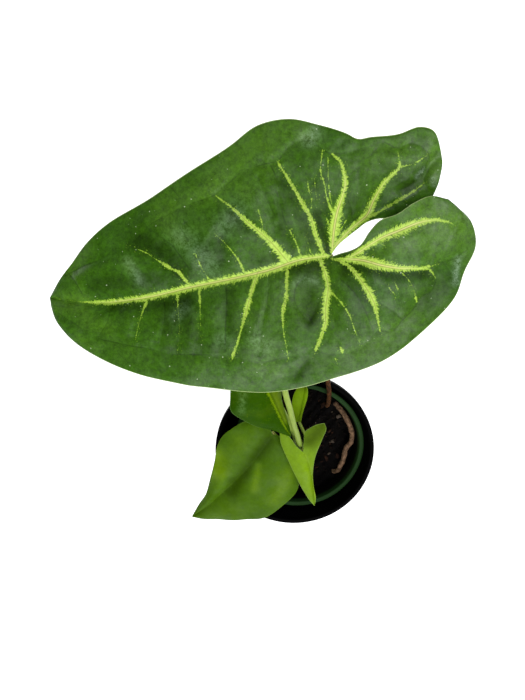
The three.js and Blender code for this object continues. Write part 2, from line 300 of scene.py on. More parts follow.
class VeinLine(Trace):
    """A vein as a path of stretches of about STEP mm, with the half-width of its paint.

    Past an end the line goes on straight for BEYOND stretches, and its paint gets narrower by FADE a mm.
    """

    STEP = 1.6
    FADE = 0.8
    BEYOND = 9

    def __init__(self, vein: Vein) -> None:
        """Cuts the vein's curve into stretches.

        Args:
            vein: The vein.
        """
        self.kind = vein.kind
        curve = Spline(vein.points)
        cuts = max(2, int(curve.length / self.STEP))
        line = curve.at(np.linspace(0, 1, cuts + 1))
        super().__init__(line[:, :2])
        self.width = line[:, 2]
        self.travelled = np.concatenate([[0], np.cumsum(self.size)])

    def measure(self, spots: np.ndarray) -> tuple[np.ndarray, np.ndarray, np.ndarray, np.ndarray]:
        """Measures spots against the vein.

        Args:
            spots: x and y of each spot from the junction, in mm.

        Returns:
            For each spot, its distance to the vein, its signed distance across, the half-width of the paint
            there, and how far along the vein it lies.
        """
        gap, near, share, offset = self.nearest(spots)
        step, size = self.step[near], self.size[near]
        across = (step[:, 0] * offset[:, 1] - step[:, 1] * offset[:, 0]) / size
        past = np.where(near == 0, np.maximum(-share, 0), 0)
        past = past + np.where(near == len(self.size) - 1, np.maximum(share - 1, 0), 0)
        held = np.clip(share, 0, 1)
        width = self.width[near] * (1 - held) + self.width[near + 1] * held - self.FADE * past * size
        return gap, across, width, self.travelled[near] + np.clip(share, -self.BEYOND, self.BEYOND) * size


def bell(share: np.ndarray) -> np.ndarray:
    """A bump that rises from 0 at share 0 to 1 halfway and falls to 0 at share 1."""
    return np.sqrt(np.maximum(0, np.sin(np.pi * share)))


def grown(gap: np.ndarray, whole: float, least: float = 0.0) -> np.ndarray:
    """A share that grows from least where the gap is 0 to 1 where it is whole."""
    return least + (1 - least) * np.minimum(1, gap / whole)


@dataclass(frozen=True)
class Swell:
    """A soft ridge along a path of x, y from the junction, or a hollow where its height is below 0, in mm.

    As painted light and shade on the flesh, its height is a share: above 0 painted light towards the young
    colour, below 0 painted shade towards black.
    As a mark of pale wax bloom, its height is the share that the wax covers.
    """

    radius: float
    height: float
    path: tuple[Flat, ...]

    def lift(self, spots: np.ndarray) -> np.ndarray:
        """Works out how much the swell lifts each spot.

        Args:
            spots: x and y of each spot from the junction.

        Returns:
            The lifts.
        """
        points = np.array(self.path if len(self.path) > 1 else self.path * 2, float)
        gap = Trace(points).nearest(spots)[0]
        return self.height * np.exp(-(gap / self.radius) ** 2)


@dataclass(frozen=True)
class Half:
    """One half of a blade, in mm from the junction.

    Attributes:
        shoulder: The margin's share that lies on the body.
        crown: The rise of the half between midrib and margin.
        sinus: The edge that runs from the junction to the end of the basal lobe.
        margin: The edge that runs from the tip round to that same lobe end.
        veins: Its veins and creases. The midrib belongs to the blade.
        swells: The soft ridges and hollows of its upper face.
        painted_shading_patches: Where light and shade are painted on its flesh, lighter towards the young
            colour and darker towards black.
        bloom: Where pale wax lies on it.
    """

    shoulder: float
    crown: float
    sinus: tuple[Spot, ...]
    margin: tuple[Spot, ...]
    veins: tuple[Vein, ...] = ()
    swells: tuple[Swell, ...] = ()
    painted_shading_patches: tuple[Swell, ...] = ()
    bloom: tuple[Swell, ...] = ()


@dataclass
class Blade:
    """A leaf blade: two halves that meet along the midrib, thin at the edge, with ribs below.

    Each half is a grid folded round its margin, so that its columns run from the midrib over the upper face
    to the margin, and back below. Lengths are in mm.

    Points are given from the junction with the stalk, the midrib's from its tip on. Each half has rows of
    faces along its body and its lobe, and columns that crowd towards the midrib; at a crowding of 1 they are
    even. The margin has ribs waves. The blade has its thickness from edge inwards. pucker is how high its
    flesh stands between the veins, cell and net are the size and the depth of the meshes of its finest veins,
    and depth is the share of a large leaf's relief. side_veins plain veins join those that are listed.
    """

    # How far from the midrib a half's own relief starts, and over how far it grows. The midrib is measured
    # by this many points.
    SEAM = (0.2, 2.5)
    SEAM_POINTS = 60
    # Over how far the midrib's fold grows from the tip, and relief from the edge, and the shares left there.
    TIP_FOLD = (25.0, 0.3)
    EDGE_RELIEF = (5.0, 0.25)
    # Over how far from the edge small ribs and the midrib's keel grow.
    RIB_ENDS = 2.0
    KEEL_ENDS = 1.5
    # The keel's radius at the tip, as a share, and its half-width as a multiple of its radius.
    KEEL_TIP = 0.35
    KEEL_WIDTH = 1.15
    # How high the flesh between the veins stands. Where valleys meet, they blend by this power.
    LEVEL = 0.6
    BLEND = 3
    # The two sizes of the puckers, the share of the second, and the stretch and sharpness of the net.
    PUCKERS = (8.0, 3.2)
    SMALL_PUCKER = 0.25
    NET_STRETCH = 1.3
    NET_WIDTH = 0.13
    # How far the midrib goes on past its last plain side vein, in the distance from one to the next.
    PAST_ROOTS = 0.6
    # A plain side vein's points across, its bend towards the tip, and its width, which leaves it bare.
    REACHES = (0.0, 0.25, 0.5, 0.75, 0.92)
    BEND = 0.16
    BARE = -0.2
    # The grain's rows from the tip to the lobe's end.
    GRAIN_ROWS = 200
    # A corner's place where no vein is near, and how far apart two veins' patterns lie, in mm.
    FAR = (9.0, -9.0, 0.0)
    APART = 31

    name: str
    slot: str
    finish: "BladeFinish"
    junction: Spot
    face: Spot
    rib_radius: float
    midrib: tuple[Spot, ...]
    halves: tuple[Half, Half]
    midrib_paint: tuple[Spot, ...]
    rows: tuple[int, int] = (60, 20)
    columns: int = 24
    ribs: int = 5
    wave: float = 0.5
    thickness: float = 0.5
    edge: float = 0.35
    crowding: float = 1.25
    pucker: float = 0.22
    cell: float = 6.5
    net: float = 0.12
    depth: float = 1.0
    side_veins: int = 0

    def middle(self, half: Half) -> np.ndarray:
        """Lays out one half's middle surface.

        Args:
            half: The half.

        Returns:
            The spots by row and column, in mm from the junction.
        """
        body = np.linspace(0, 1, self.rows[0] + 1)
        lobe = np.linspace(0, 1, self.rows[1] + 1)[1:]
        share = np.concatenate([half.shoulder * body, half.shoulder + (1 - half.shoulder) * lobe])
        midrib = Spline([*self.midrib, (0, 0, 0)]).at(body)
        sinus = Spline([(0, 0, 0), *half.sinus]).at(lobe)
        margin = Spline([self.midrib[0], *half.margin, half.sinus[-1]]).at(share)
        inner = np.concatenate([midrib, sinus])
        across = np.linspace(0, 1, self.columns + 1) ** self.crowding
        spots = inner[:, None] + (margin - inner)[:, None] * across[None, :, None]
        arch = np.sin(np.pi * across)[None] * bell(share)[:, None]
        waves = np.sin(2 * np.pi * self.ribs * share) * bell(share)
        spots[..., 2] += half.crown * arch + self.wave * across[None] ** 2 * waves[:, None]
        return spots

    def lines(self, half: Half) -> list[VeinLine]:
        """Gives every vein that one half carries, the midrib first."""
        veins = [Vein(VeinKind.MAIN, self.midrib_paint), *half.veins, *self.plain_veins(half)]
        return [VeinLine(vein) for vein in veins]

    def plain_veins(self, half: Half) -> list[Vein]:
        """Sets plain side veins evenly along the midrib. They bend towards the tip as they near the margin.

        Args:
            half: The half.

        Returns:
            The veins.
        """
        spots = self.middle(half)
        veins = []
        for i in range(self.side_veins):
            root = (i + 1) / (self.side_veins + self.PAST_ROOTS)
            path = []
            for reach in self.REACHES:
                row = int(self.rows[0] * root * (1 - self.BEND * reach ** 2))
                column = int(self.columns * reach)
                path.append((float(spots[row, column, 0]), float(spots[row, column, 1]), self.BARE))
            veins.append(Vein(VeinKind.FINE, tuple(path)))
        return veins

    def relief(self, half: Half, flat: np.ndarray, edge_gap: np.ndarray,
               traced: list[tuple[VeinKind, np.ndarray, np.ndarray]]) -> np.ndarray:
        """Works out how far each spot of the upper face stands above the plain crowned surface.

        The midrib's valley is the same on both halves, so that they meet. What belongs to one half fades out
        towards the midrib.

        Args:
            half: The half.
            flat: x and y of each spot from the junction.
            edge_gap: Each spot's distance from the edge.
            traced: Each vein's kind, and every spot's distance from it and half-width of paint there.

        Returns:
            The lift of each spot, in mm.
        """
        midrib, *others = traced
        from_tip = np.linalg.norm(flat - np.array(self.midrib[0][:2]), axis=1)
        fold = grown(from_tip, *self.TIP_FOLD)
        seam = Trace(Spline([*self.midrib, (0, 0, 0)]).at(np.linspace(0, 1, self.SEAM_POINTS))[:, :2])
        seam_start, seam_reach = self.SEAM
        own = grown(np.maximum(0, seam.nearest(flat)[0] - seam_start), seam_reach)
        near_edge = grown(edge_gap, *self.EDGE_RELIEF)
        depth, reach = midrib[0].valley
        valleys = (fold * depth * np.exp(-midrib[1] / reach)) ** self.BLEND
        for kind, gap, width in others:
            depth, reach = kind.valley
            base, slope = kind.hold
            strength = own * near_edge * np.clip(base + slope * width, 0, 1)
            valleys += (strength * depth * np.exp(-gap / reach)) ** self.BLEND
        lift = self.depth * (self.LEVEL - np.cbrt(valleys))
        for swell in half.swells:
            lift += swell.lift(flat) * own
        small = np.array([self.unevenness(x, y) for x, y in flat])
        return lift + small * near_edge * own

    def unevenness(self, x: float, y: float) -> float:
        """Works out the fine relief of the flesh: puckers, less the net of its finest veins.

        Args:
            x: x from the junction.
            y: y from the junction.

        Returns:
            The height, in mm.
        """
        level = self.junction[2]
        apart = noise.voronoi(Vector((x / self.cell, y / self.cell * self.NET_STRETCH, level)))[0]
        netting = self.net * math.exp(-((apart[1] - apart[0]) / self.NET_WIDTH) ** 2)
        broad, small = (noise.noise(Vector((x / size, y / size, level))) for size in self.PUCKERS)
        return self.pucker * (broad + self.SMALL_PUCKER * small) - netting

    def ribbed(self, traced: list[tuple[VeinKind, np.ndarray, np.ndarray]],
               edge_gap: np.ndarray) -> np.ndarray:
        """Works out how far the ribs and the midrib's keel stand below the underside.

        Args:
            traced: Each vein's kind, and every spot's distance from it and half-width of paint there.
            edge_gap: Each spot's distance from the edge, by row and column.

        Returns:
            The drop of each spot, by row and column, in mm.
        """
        rib = np.zeros(edge_gap.size)
        for kind, gap, _ in traced:
            height, width = kind.rib
            rib = np.maximum(rib, height * np.exp(-(gap / width) ** 2))
        along = np.minimum(np.arange(len(edge_gap)) / self.rows[0], 1)
        radius = self.rib_radius * (self.KEEL_TIP + (1 - self.KEEL_TIP) * along)[:, None]
        from_midrib = traced[0][1].reshape(edge_gap.shape)
        keel = 2 * radius * np.sqrt(np.maximum(0, 1 - (from_midrib / (self.KEEL_WIDTH * radius)) ** 2))
        ribs = rib.reshape(edge_gap.shape) * grown(edge_gap, self.RIB_ENDS)
        return np.maximum(ribs, keel * grown(edge_gap, self.KEEL_ENDS))

    def folded(self, half: Half) -> tuple[np.ndarray, np.ndarray]:
        """Lays out one half round its margin: upper face, then underside.

        Args:
            half: The half.

        Returns:
            The spots by row and folded column, in mm in the part's frame, and four facts of each spot: the
            light and shade painted on its flesh, its distance from the edge, 1 on the underside, and its share
            of wax bloom.
        """
        spots = self.middle(half)
        shape = spots.shape[:2]
        flat = spots[..., :2].reshape(-1, 2)
        margin_gap = np.linalg.norm(spots - spots[:, -1:], axis=2)
        on_lobe = np.arange(len(spots)) > self.rows[0]
        sinus_gap = np.linalg.norm(spots - spots[:, :1], axis=2)
        edge_gap = np.where(on_lobe[:, None], np.minimum(margin_gap, sinus_gap), margin_gap)
        measured = [(line.kind, line.measure(flat)) for line in self.lines(half)]
        traced = [(kind, told[0], told[2]) for kind, told in measured]
        lift = self.relief(half, flat, edge_gap.ravel(), traced).reshape(shape)
        below = self.ribbed(traced, edge_gap)
        rounding = np.sqrt(1 - (1 - np.minimum(edge_gap / self.edge, 1)) ** 2)
        face = np.array(self.face) / np.linalg.norm(self.face)
        base = spots + np.array(self.junction)
        base[..., 2] += lift
        half_thick = rounding[..., None] * self.thickness / 2
        upper = base + face * half_thick
        under = base - face * half_thick
        under[..., 2] -= below * rounding
        # Light and shade painted on the flesh, from the half's patches.
        painted_shading = sum((patch.lift(flat) for patch in half.painted_shading_patches), np.zeros(len(flat))).reshape(shape)
        bloom = sum((patch.lift(flat) for patch in half.bloom), np.zeros(len(flat))).reshape(shape)
        facts = np.stack([painted_shading, edge_gap, np.zeros(shape), bloom], axis=2)
        back = np.stack([painted_shading, edge_gap, np.ones(shape), bloom * 0], axis=2)
        sheet = np.concatenate([upper, under[:, -2::-1]], axis=1)
        return sheet, np.concatenate([facts, back[:, -2::-1]], axis=1)

    def build(self) -> bpy.types.Object:
        """Builds the blade and stores what its finish reads.

        Returns:
            The blade's object.
        """
        mesh = bmesh.new()
        form = mesh.verts.layers.float_vector.new("form")
        grain = mesh.verts.layers.float_vector.new("grain")
        bloom = mesh.verts.layers.float.new("bloom")
        side = mesh.faces.layers.int.new("half")
        rows = sum(self.rows)
        columns = 2 * self.columns
        for number, half in enumerate(self.halves):
            sheet, facts = self.folded(half)
            made = bmesh.ops.create_grid(mesh, x_segments=rows, y_segments=columns, size=0.5)["verts"]
            for vert in made:
                row = round((vert.co.x + 0.5) * rows)
                column = round((vert.co.y + 0.5) * columns)
                vert.co = Vector(sheet[row, column]) * MM
                vert[form] = Vector(facts[row, column, :3])
                vert[bloom] = facts[row, column, 3]
                lane = self.columns - abs(self.columns - column)
                vert[grain] = Vector((row * self.GRAIN_ROWS / rows, lane, number))
            for face in {face for vert in made for face in vert.link_faces}:
                face[side] = number
        bmesh.ops.remove_doubles(mesh, verts=mesh.verts, dist=MERGE)
        bmesh.ops.dissolve_degenerate(mesh, edges=mesh.edges, dist=SLIVER)
        open_edges = [edge for edge in mesh.edges if edge.is_boundary]
        bmesh.ops.holes_fill(mesh, edges=open_edges, sides=4)
        bmesh.ops.recalc_face_normals(mesh, faces=mesh.faces)
        for edge in mesh.edges:
            flags = {max(vert[form].z for vert in face.verts) > 0.5 for face in edge.link_faces}
            edge.smooth = len(flags) == 1
        piece = settle(self.name + "_blade", mesh, self.finish.material(), self.slot, self.name)
        self.store_veins(piece.data)
        return piece

    def store_veins(self, mesh: bpy.types.Mesh) -> None:
        """Stores, at each face corner, its place against the nearest vein of each kind.

        Args:
            mesh: The blade's mesh. It gets an attribute for each kind of vein: distance across, half-width
                and distance along, in mm.
        """
        count = len(mesh.polygons)
        half_of = np.zeros(count, int)
        mesh.attributes["half"].data.foreach_get("value", half_of)
        centres = np.zeros(count * 3)
        mesh.polygons.foreach_get("center", centres)
        centres = centres.reshape(-1, 3)[:, :2] / MM - np.array(self.junction[:2])
        totals = np.zeros(count, int)
        mesh.polygons.foreach_get("loop_total", totals)
        face_of = np.repeat(np.arange(count), totals)
        corner_vert = np.zeros(len(mesh.loops), int)
        mesh.loops.foreach_get("vertex_index", corner_vert)
        spots = np.zeros(len(mesh.vertices) * 3)
        mesh.vertices.foreach_get("co", spots)
        corners = spots.reshape(-1, 3)[corner_vert, :2] / MM - np.array(self.junction[:2])
        groups = [self.lines(half) for half in self.halves]
        for kind in VeinKind:
            stored = np.tile(np.array(self.FAR, np.float32), (len(corners), 1))
            for number, group in enumerate(groups):
                lines = [line for line in group if line.kind is kind]
                faces = np.flatnonzero(half_of == number)
                if not lines or not len(faces):
                    continue
                rank = []
                for line in lines:
                    _, across, width, _ = line.measure(centres[faces])
                    rank.append(width - np.abs(across))
                best = np.full(count, -1)
                best[faces] = np.argmax(rank, axis=0)
                for place, line in enumerate(lines):
                    mine = np.flatnonzero(best[face_of] == place)
                    _, across, width, along = line.measure(corners[mine])
                    stored[mine] = np.stack([across, width, along + self.APART * place], axis=1)
            layer = mesh.attributes.new(kind.attribute, "FLOAT_VECTOR", "CORNER")
            layer.data.foreach_set("vector", stored.ravel())


@dataclass(frozen=True)
class BladeFinish:
    """A living aroid leaf: a thin waxy skin over green flesh, with a soft satin shine.

    Painted shade darkens the flesh towards the margin. The paint along the veins is yellow-green, with
    finely frayed edges, paler where it is wide. The underside is duller and paler.

    flesh is the plain green between the veins, hollow that of its darkest places and of painted shade, and
    young that of its freshest places, to which painted light also lifts it. margin is the pale rim, a painted
    highlight along the edge. vein_pale is the paint well inside a vein, vein_deep that of its frays, vein_line
    that of the thin lines beside a large vein's cord and down a side vein. residue is wax bloom and dried
    marks. fray is the share of a vein's half-width that its edge frays by, edge_shade the share of painted
    shade by which the flesh darkens near the margin, and mottle that by which it varies from grain to grain.
    speck_size is the radius of the largest speck of dust as a share of speck_cell, the distance between specks
    in mm. Between the two x of light_sweep, in mm, the leaf turns from painted shade and dull to painted light
    and glossy, unless they are equal.
    """

    # Sizes of the patterns' grains, in mm. Flecks and dots are drawn about twice as coarse as the real ones.
    BROAD = 33.33
    MARK = 14.29
    PATCH = 13.33
    DULL = 7.692
    GRAIN = 2.381
    SWELLING = 2.2222
    FINE = 1.25
    DOT = 0.6667
    FLECK = 0.625
    FRAY = 0.5882
    # How the frays lean towards the vein's tip, and how far a cord's edges lie from its centre, in mm.
    SLANT = -0.6
    CORD_EDGE = 0.38

    name: str
    flesh: str = "3E6312"
    hollow: str = "325A0A"
    young: str = "5A8422"
    vein_pale: str = "C4E064"
    vein_deep: str = "92BA30"
    vein_line: str = "7C7634"
    cord: str = "D2CC80"
    margin: str = "B8CC86"
    under: str = "7E9B62"
    residue: str = "9DB49C"
    fray: float = 0.46
    roughness: float = 0.32
    shine: float = 0.32
    edge_shade: float = 0.2
    grain_depth: float = 0.2
    mottle: float = 0.44
    speck: str = "BCCBA4"
    speck_cell: float = 2.8
    speck_size: float = 0.1
    light_sweep: tuple[float, float] = (0.0, 0.0)

    def vein_paint(self, tree: Tree, kind: VeinKind) -> tuple[Source, Source, Source, Source]:
        """Draws the paint of one kind of vein, with frayed edges that slant towards the vein's tip.

        Args:
            tree: The material's nodes.
            kind: The kind of vein.

        Returns:
            How much paint covers the spot, how far inside the paint it lies in mm, its distance across from
            the vein's centre in mm, and the paint's half-width there in mm.
        """
        thin = kind is VeinKind.FINE
        told = add(tree, "Attribute", attribute_name=kind.attribute).outputs["Vector"]
        across, width, along = add(tree, "SeparateXYZ", (told,)).outputs
        gap = add(tree, "Math", (across,), operation="ABSOLUTE")
        slant = add(tree, "Math", (gap, self.SLANT, along), operation="MULTIPLY_ADD")
        spread = add(tree, "CombineXYZ", (slant, across, 5.0 * kind.value))
        placed = add(tree, "VectorMath", (spread, (1.0, 0.35, 1.0)), operation="MULTIPLY")
        frays = add(tree, "TexNoise", (placed, 1 / self.FRAY, 3.0, 0.75))
        stretch = add(tree, "CombineXYZ", (along, 3.0 * kind.value))
        swell = add(tree, "TexNoise", (stretch, 1 / self.SWELLING, 2.0))
        pinch = add(tree, "MapRange", (swell, 0.32, 0.68, -0.4, 0.0 if thin else 0.06))
        scaled = add(tree, "Math", (width, 1.0), operation="MINIMUM")
        pinch = add(tree, "Math", (pinch, 1.0 if thin else scaled), operation="MULTIPLY")
        drawn = add(tree, "Math", (width, pinch), operation="ADD")
        room = add(tree, "Math", (drawn, gap), operation="SUBTRACT")
        ragged = add(tree, "MapRange", (frays, 0.32, 0.68, -1.0, 1.0), clamp=False)
        amount = add(tree, "Math", (width, self.fray, 0.12), operation="MULTIPLY_ADD")
        reach = add(tree, "Math", (ragged, amount, room), operation="MULTIPLY_ADD")
        cover = add(tree, "MapRange", (reach, -0.1, 0.16), interpolation_type="SMOOTHSTEP")
        return cover, reach, across, width

    def paint(self, tree: Tree, place: Source, fine: Source) -> tuple[Source, Source, Source]:
        """Draws the paint of all the veins, with flecks missing from it, cords and thin lines.

        Args:
            tree: The material's nodes.
            place: Object coordinates.
            fine: A fine noise.

        Returns:
            How much paint covers the spot, how far inside the paint it lies in mm, and the paint's colour.
        """
        main, side, threadlike = (self.vein_paint(tree, kind) for kind in PAINTED)
        cover, inside, across, width = main
        for more, deeper, *_ in (side, threadlike):
            cover = add(tree, "Math", (cover, more), operation="MAXIMUM")
            inside = add(tree, "Math", (inside, deeper), operation="MAXIMUM")
        flecks = add(tree, "TexNoise", (place, per_metre(self.FLECK), 2.0, 0.7))
        fleck = add(tree, "MapRange", (flecks, 0.5, 0.62, 0.0, 0.85))
        near_rim = add(tree, "MapRange", (inside, 0.1, 0.9, 1.0, 0.12))
        hole = add(tree, "Math", (fleck, near_rim), operation="MULTIPLY")
        kept = add(tree, "Math", (1.0, hole), operation="SUBTRACT")
        cover = add(tree, "Math", (cover, kept), operation="MULTIPLY")
        depth = add(tree, "MapRange", (inside, -0.1, 1.0))
        uneven = add(tree, "MapRange", (fine, 0.3, 0.62, 0.35))
        pale = add(tree, "Math", (depth, uneven), operation="MULTIPLY")
        wide = add(tree, "MapRange", (width, 0.9, 1.9))
        from_centre = add(tree, "Math", (across,), operation="ABSOLUTE")
        cord = add(tree, "MapRange", (from_centre, 0.2, 0.36, 0.75, 0.0))
        cord = add(tree, "Math", (cord, wide), operation="MULTIPLY")
        from_line = add(tree, "Math", (from_centre, self.CORD_EDGE), operation="SUBTRACT")
        from_line = add(tree, "Math", (from_line,), operation="ABSOLUTE")
        line = add(tree, "MapRange", (from_line, 0.05, 0.16, 0.8, 0.0))
        line = add(tree, "Math", (line, wide), operation="MULTIPLY")
        from_thread = add(tree, "Math", (side[2],), operation="ABSOLUTE")
        thread = add(tree, "MapRange", (from_thread, 0.06, 0.22, 0.6, 0.0))
        well_in = add(tree, "MapRange", (side[1], 0.3, 0.7))
        thread = add(tree, "Math", (thread, well_in), operation="MULTIPLY")
        colour = linear(self.vein_deep)
        coats = ((pale, self.vein_pale), (cord, self.cord), (line, self.vein_line), (thread, self.vein_line))
        for share, tint in coats:
            colour = add(tree, "Mix", (share, colour, linear(tint)), data_type="RGBA")
        return cover, inside, colour

    def swept(self, tree: Tree, place: Source, value: Source, low: float, high: float) -> Source:
        """Multiplies a value by low to high across the leaf's light_sweep, if it has one. On the flesh's
        colour this is painted shade towards the start and painted light towards the end.

        Args:
            tree: The material's nodes.
            place: Object coordinates.
            value: The value.
            low: The factor where the sweep starts.
            high: The factor where it ends.

        Returns:
            The value, multiplied or as it was.
        """
        start, end = self.light_sweep
        if start == end:
            return value
        along = add(tree, "SeparateXYZ", (place,)).outputs["X"]
        turn = add(tree, "MapRange", (along, start * MM, end * MM, low, high))
        return add(tree, "Math", (value, turn), operation="MULTIPLY")

    def painted_crease_shade(self, tree: Tree, patch: Source) -> Source:
        """Works out the painted shade of the dark, broken lines in the bare creases, which darkens the flesh.

        Args:
            tree: The material's nodes.
            patch: A noise that breaks the lines.

        Returns:
            The factor for the flesh: 1 away from the lines.
        """
        told = add(tree, "Attribute", attribute_name=VeinKind.CREASE.attribute).outputs["Vector"]
        across, width, _ = add(tree, "SeparateXYZ", (told,)).outputs
        gap = add(tree, "Math", (across,), operation="ABSOLUTE")
        line = add(tree, "MapRange", (gap, 0.1, 0.45, 1.0, 0.0))
        ends = add(tree, "MapRange", (width, -1.0, -0.1))
        broken = add(tree, "MapRange", (patch, 0.4, 0.62, 0.0, -0.38))
        line = add(tree, "Math", (line, ends), operation="MULTIPLY")
        return add(tree, "Math", (line, broken, 1.0), operation="MULTIPLY_ADD")

    def flesh_colour(self, tree: Tree, place: Source, painted_shading: Source, edge: Source, grain: Source) -> Source:
        """Mixes the green between the veins.

        Args:
            tree: The material's nodes.
            place: Object coordinates.
            painted_shading: The light and shade painted on the flesh: above 0 towards the young colour, below
                0 towards black.
            edge: The distance from the edge, in mm.
            grain: A grainy noise.

        Returns:
            The colour.
        """
        broad = add(tree, "TexNoise", (place, per_metre(self.BROAD), 4.0, 0.6))
        patch = add(tree, "TexNoise", (place, per_metre(self.PATCH), 3.0, 0.6))
        # Along the leaf the flesh goes from hollow to past flesh: painted shade towards the tip, painted light
        # towards the lobes.
        level = self.swept(tree, place, add(tree, "MapRange", (broad, 0.3, 0.7)), 0.0, 1.4)
        fresh = add(tree, "MapRange", (patch, 0.48, 0.75, 0.0, 0.15))
        # Painted light lifts the flesh towards the young colour.
        fresh = add(tree, "Math", (fresh, painted_shading), operation="ADD", use_clamp=True)
        # Painted shade near the margin.
        near = add(tree, "MapRange", (edge, 10.0, 5.0, 0.0, self.edge_shade), interpolation_type="SMOOTHSTEP")
        colour = linear(self.hollow)
        for share, tint in ((level, self.flesh), (fresh, self.young), (near, self.hollow)):
            colour = add(tree, "Mix", (share, colour, linear(tint)), data_type="RGBA")
        shade = add(tree, "MapRange", (grain, 0.36, 0.64, 1 - self.mottle, 1 + self.mottle), clamp=False)
        # Painted shade: dark lines in the creases, and the patches of painted shade.
        for darker in (self.painted_crease_shade(tree, patch), add(tree, "MapRange", (painted_shading, -1.0, 0.0))):
            shade = add(tree, "Math", (shade, darker), operation="MULTIPLY")
        return add(tree, "VectorMath", (colour, shade), operation="SCALE")

    def coats(self, tree: Tree, place: Source, inside: Source, edge: Source, marks: Source,
              grain: Source) -> list[tuple[Source, str]]:
        """Gives what lies over flesh and paint: stray dots, the pale rim, a painted highlight along the edge,
        dust, dried marks and wax bloom.

        Args:
            tree: The material's nodes.
            place: Object coordinates.
            inside: How far inside the paint the spot lies, in mm.
            edge: The distance from the edge, in mm.
            marks: A noise for the dried marks.
            grain: A grainy noise, which breaks the bloom.

        Returns:
            The share that each coat covers, and its colour.
        """
        dots = add(tree, "TexNoise", (place, per_metre(self.DOT), 1.0))
        dot = add(tree, "MapRange", (dots, 0.66, 0.72))
        nearby = add(tree, "MapRange", (inside, -2.0, -0.4, 0.0, 0.7))
        dot = add(tree, "Math", (dot, nearby), operation="MULTIPLY")
        # The pale rim is a painted highlight along the edge.
        rim = add(tree, "MapRange", (edge, 0.12, 0.36, 0.8, 0.0))
        cells = add(tree, "TexVoronoi", {"Vector": place, "Scale": per_metre(self.speck_cell)})
        chance = add(tree, "SeparateColor", (cells.outputs["Color"],)).outputs[0]
        some = add(tree, "MapRange", (chance, 0.45, 0.95))
        size = add(tree, "Math", (some, self.speck_size), operation="MULTIPLY")
        speck = add(tree, "Math", (cells.outputs["Distance"], size), operation="LESS_THAN")
        speck = add(tree, "Math", (speck, 0.75), operation="MULTIPLY")
        mark = add(tree, "MapRange", (marks, 0.63, 0.85, 0.0, 0.3))
        flaky = add(tree, "MapRange", (grain, 0.42, 0.6))
        told = add(tree, "Attribute", attribute_name="bloom").outputs["Fac"]
        bloom = add(tree, "Math", (told, flaky), operation="MULTIPLY")
        return [(dot, self.vein_deep), (rim, self.margin), (speck, self.speck), (mark, self.residue),
                (bloom, self.residue)]

    def gloss(self, tree: Tree, place: Source, painted_shading: Source) -> Source:
        """Works out the skin's specular level: less where shade is painted, more where light is painted, and
        uneven, as thin wax is.

        Args:
            tree: The material's nodes.
            place: Object coordinates.
            painted_shading: The light and shade painted on the flesh.

        Returns:
            The specular level.
        """
        level = add(tree, "Math", (painted_shading, self.shine, self.shine), operation="MULTIPLY_ADD", use_clamp=True)
        dull = add(tree, "TexNoise", (place, per_metre(self.DULL), 6.0, 0.7))
        sheen = add(tree, "MapRange", (dull, 0.38, 0.62, 0.35, 1.35))
        level = add(tree, "Math", (level, sheen), operation="MULTIPLY")
        return self.swept(tree, place, level, 0.5, 1.1)

    def grained(self, tree: Tree, fine: Source) -> Source:
        """Gives the skin its bump: a fine grain, and threads that run out from the midrib.

        Args:
            tree: The material's nodes.
            fine: A fine noise.

        Returns:
            The bumped normal.
        """
        told = add(tree, "Attribute", attribute_name="grain").outputs["Vector"]
        threads_at = add(tree, "VectorMath", (told, (1.0, 0.05, 1.0)), operation="MULTIPLY")
        threads = add(tree, "TexNoise", (threads_at, 1.1, 3.0, 0.6))
        height = add(tree, "Math", (fine, 0.5, threads), operation="MULTIPLY_ADD")
        return add(tree, "Bump", {"Strength": self.grain_depth, "Distance": 0.5 * MM, "Height": height})

    @property
    def dulled(self) -> tuple[float, float]:
        """The skin's roughness where it is clean, and where dried marks dull it most."""
        return self.roughness - 0.06, self.roughness + 0.12

    def material(self) -> bpy.types.Material:
        """Makes the leaf's material.

        Returns:
            The material.
        """
        material, tree, skin = blank_material(self.name)
        place = add(tree, "TexCoord").outputs["Object"]
        told = add(tree, "Attribute", attribute_name="form").outputs["Vector"]
        # The form's x is the light and shade painted on the flesh.
        painted_shading, edge, under = add(tree, "SeparateXYZ", (told,)).outputs
        fine = add(tree, "TexNoise", (place, per_metre(self.FINE), 4.0, 0.75))
        grain = add(tree, "TexNoise", (place, per_metre(self.GRAIN), 6.0, 0.9))
        marks = add(tree, "TexNoise", (place, per_metre(self.MARK), 9.0, 0.75))
        flesh = self.flesh_colour(tree, place, painted_shading, edge, grain)
        cover, inside, paint = self.paint(tree, place, fine)
        colour = add(tree, "Mix", (cover, flesh, paint), data_type="RGBA")
        for share, tint in self.coats(tree, place, inside, edge, marks, grain):
            colour = add(tree, "Mix", (share, colour, linear(tint)), data_type="RGBA")
        below = add(tree, "Mix", (0.62, colour, linear(self.under)), data_type="RGBA")
        fill(tree, skin, {
            "Base Color": add(tree, "Mix", (under, colour, below), data_type="RGBA"),
            "Roughness": add(tree, "MapRange", (marks, 0.35, 0.7, *self.dulled)),
            "Specular IOR Level": self.gloss(tree, place, painted_shading),
            "Normal": self.grained(tree, fine),
            "IOR": 1.45,
        })
        return material


def round_rod(tree: Tree, pace: float) -> tuple[Source, Source]:
    """Reads a rod's attribute run, which gives mm along, share along and the angle round.

    Args:
        tree: The material's nodes.
        pace: How far a pattern moves on for each mm along the rod.

    Returns:
        A place for a pattern that closes round the rod, and the share along.
    """
    told = add(tree, "Attribute", attribute_name="run").outputs["Vector"]
    along, share, angle = add(tree, "SeparateXYZ", (told,)).outputs
    sine = add(tree, "Math", (angle,), operation="SINE")
    cosine = add(tree, "Math", (angle,), operation="COSINE")
    slow = add(tree, "Math", (along, pace), operation="MULTIPLY")
    return add(tree, "CombineXYZ", (sine, cosine, slow)), share


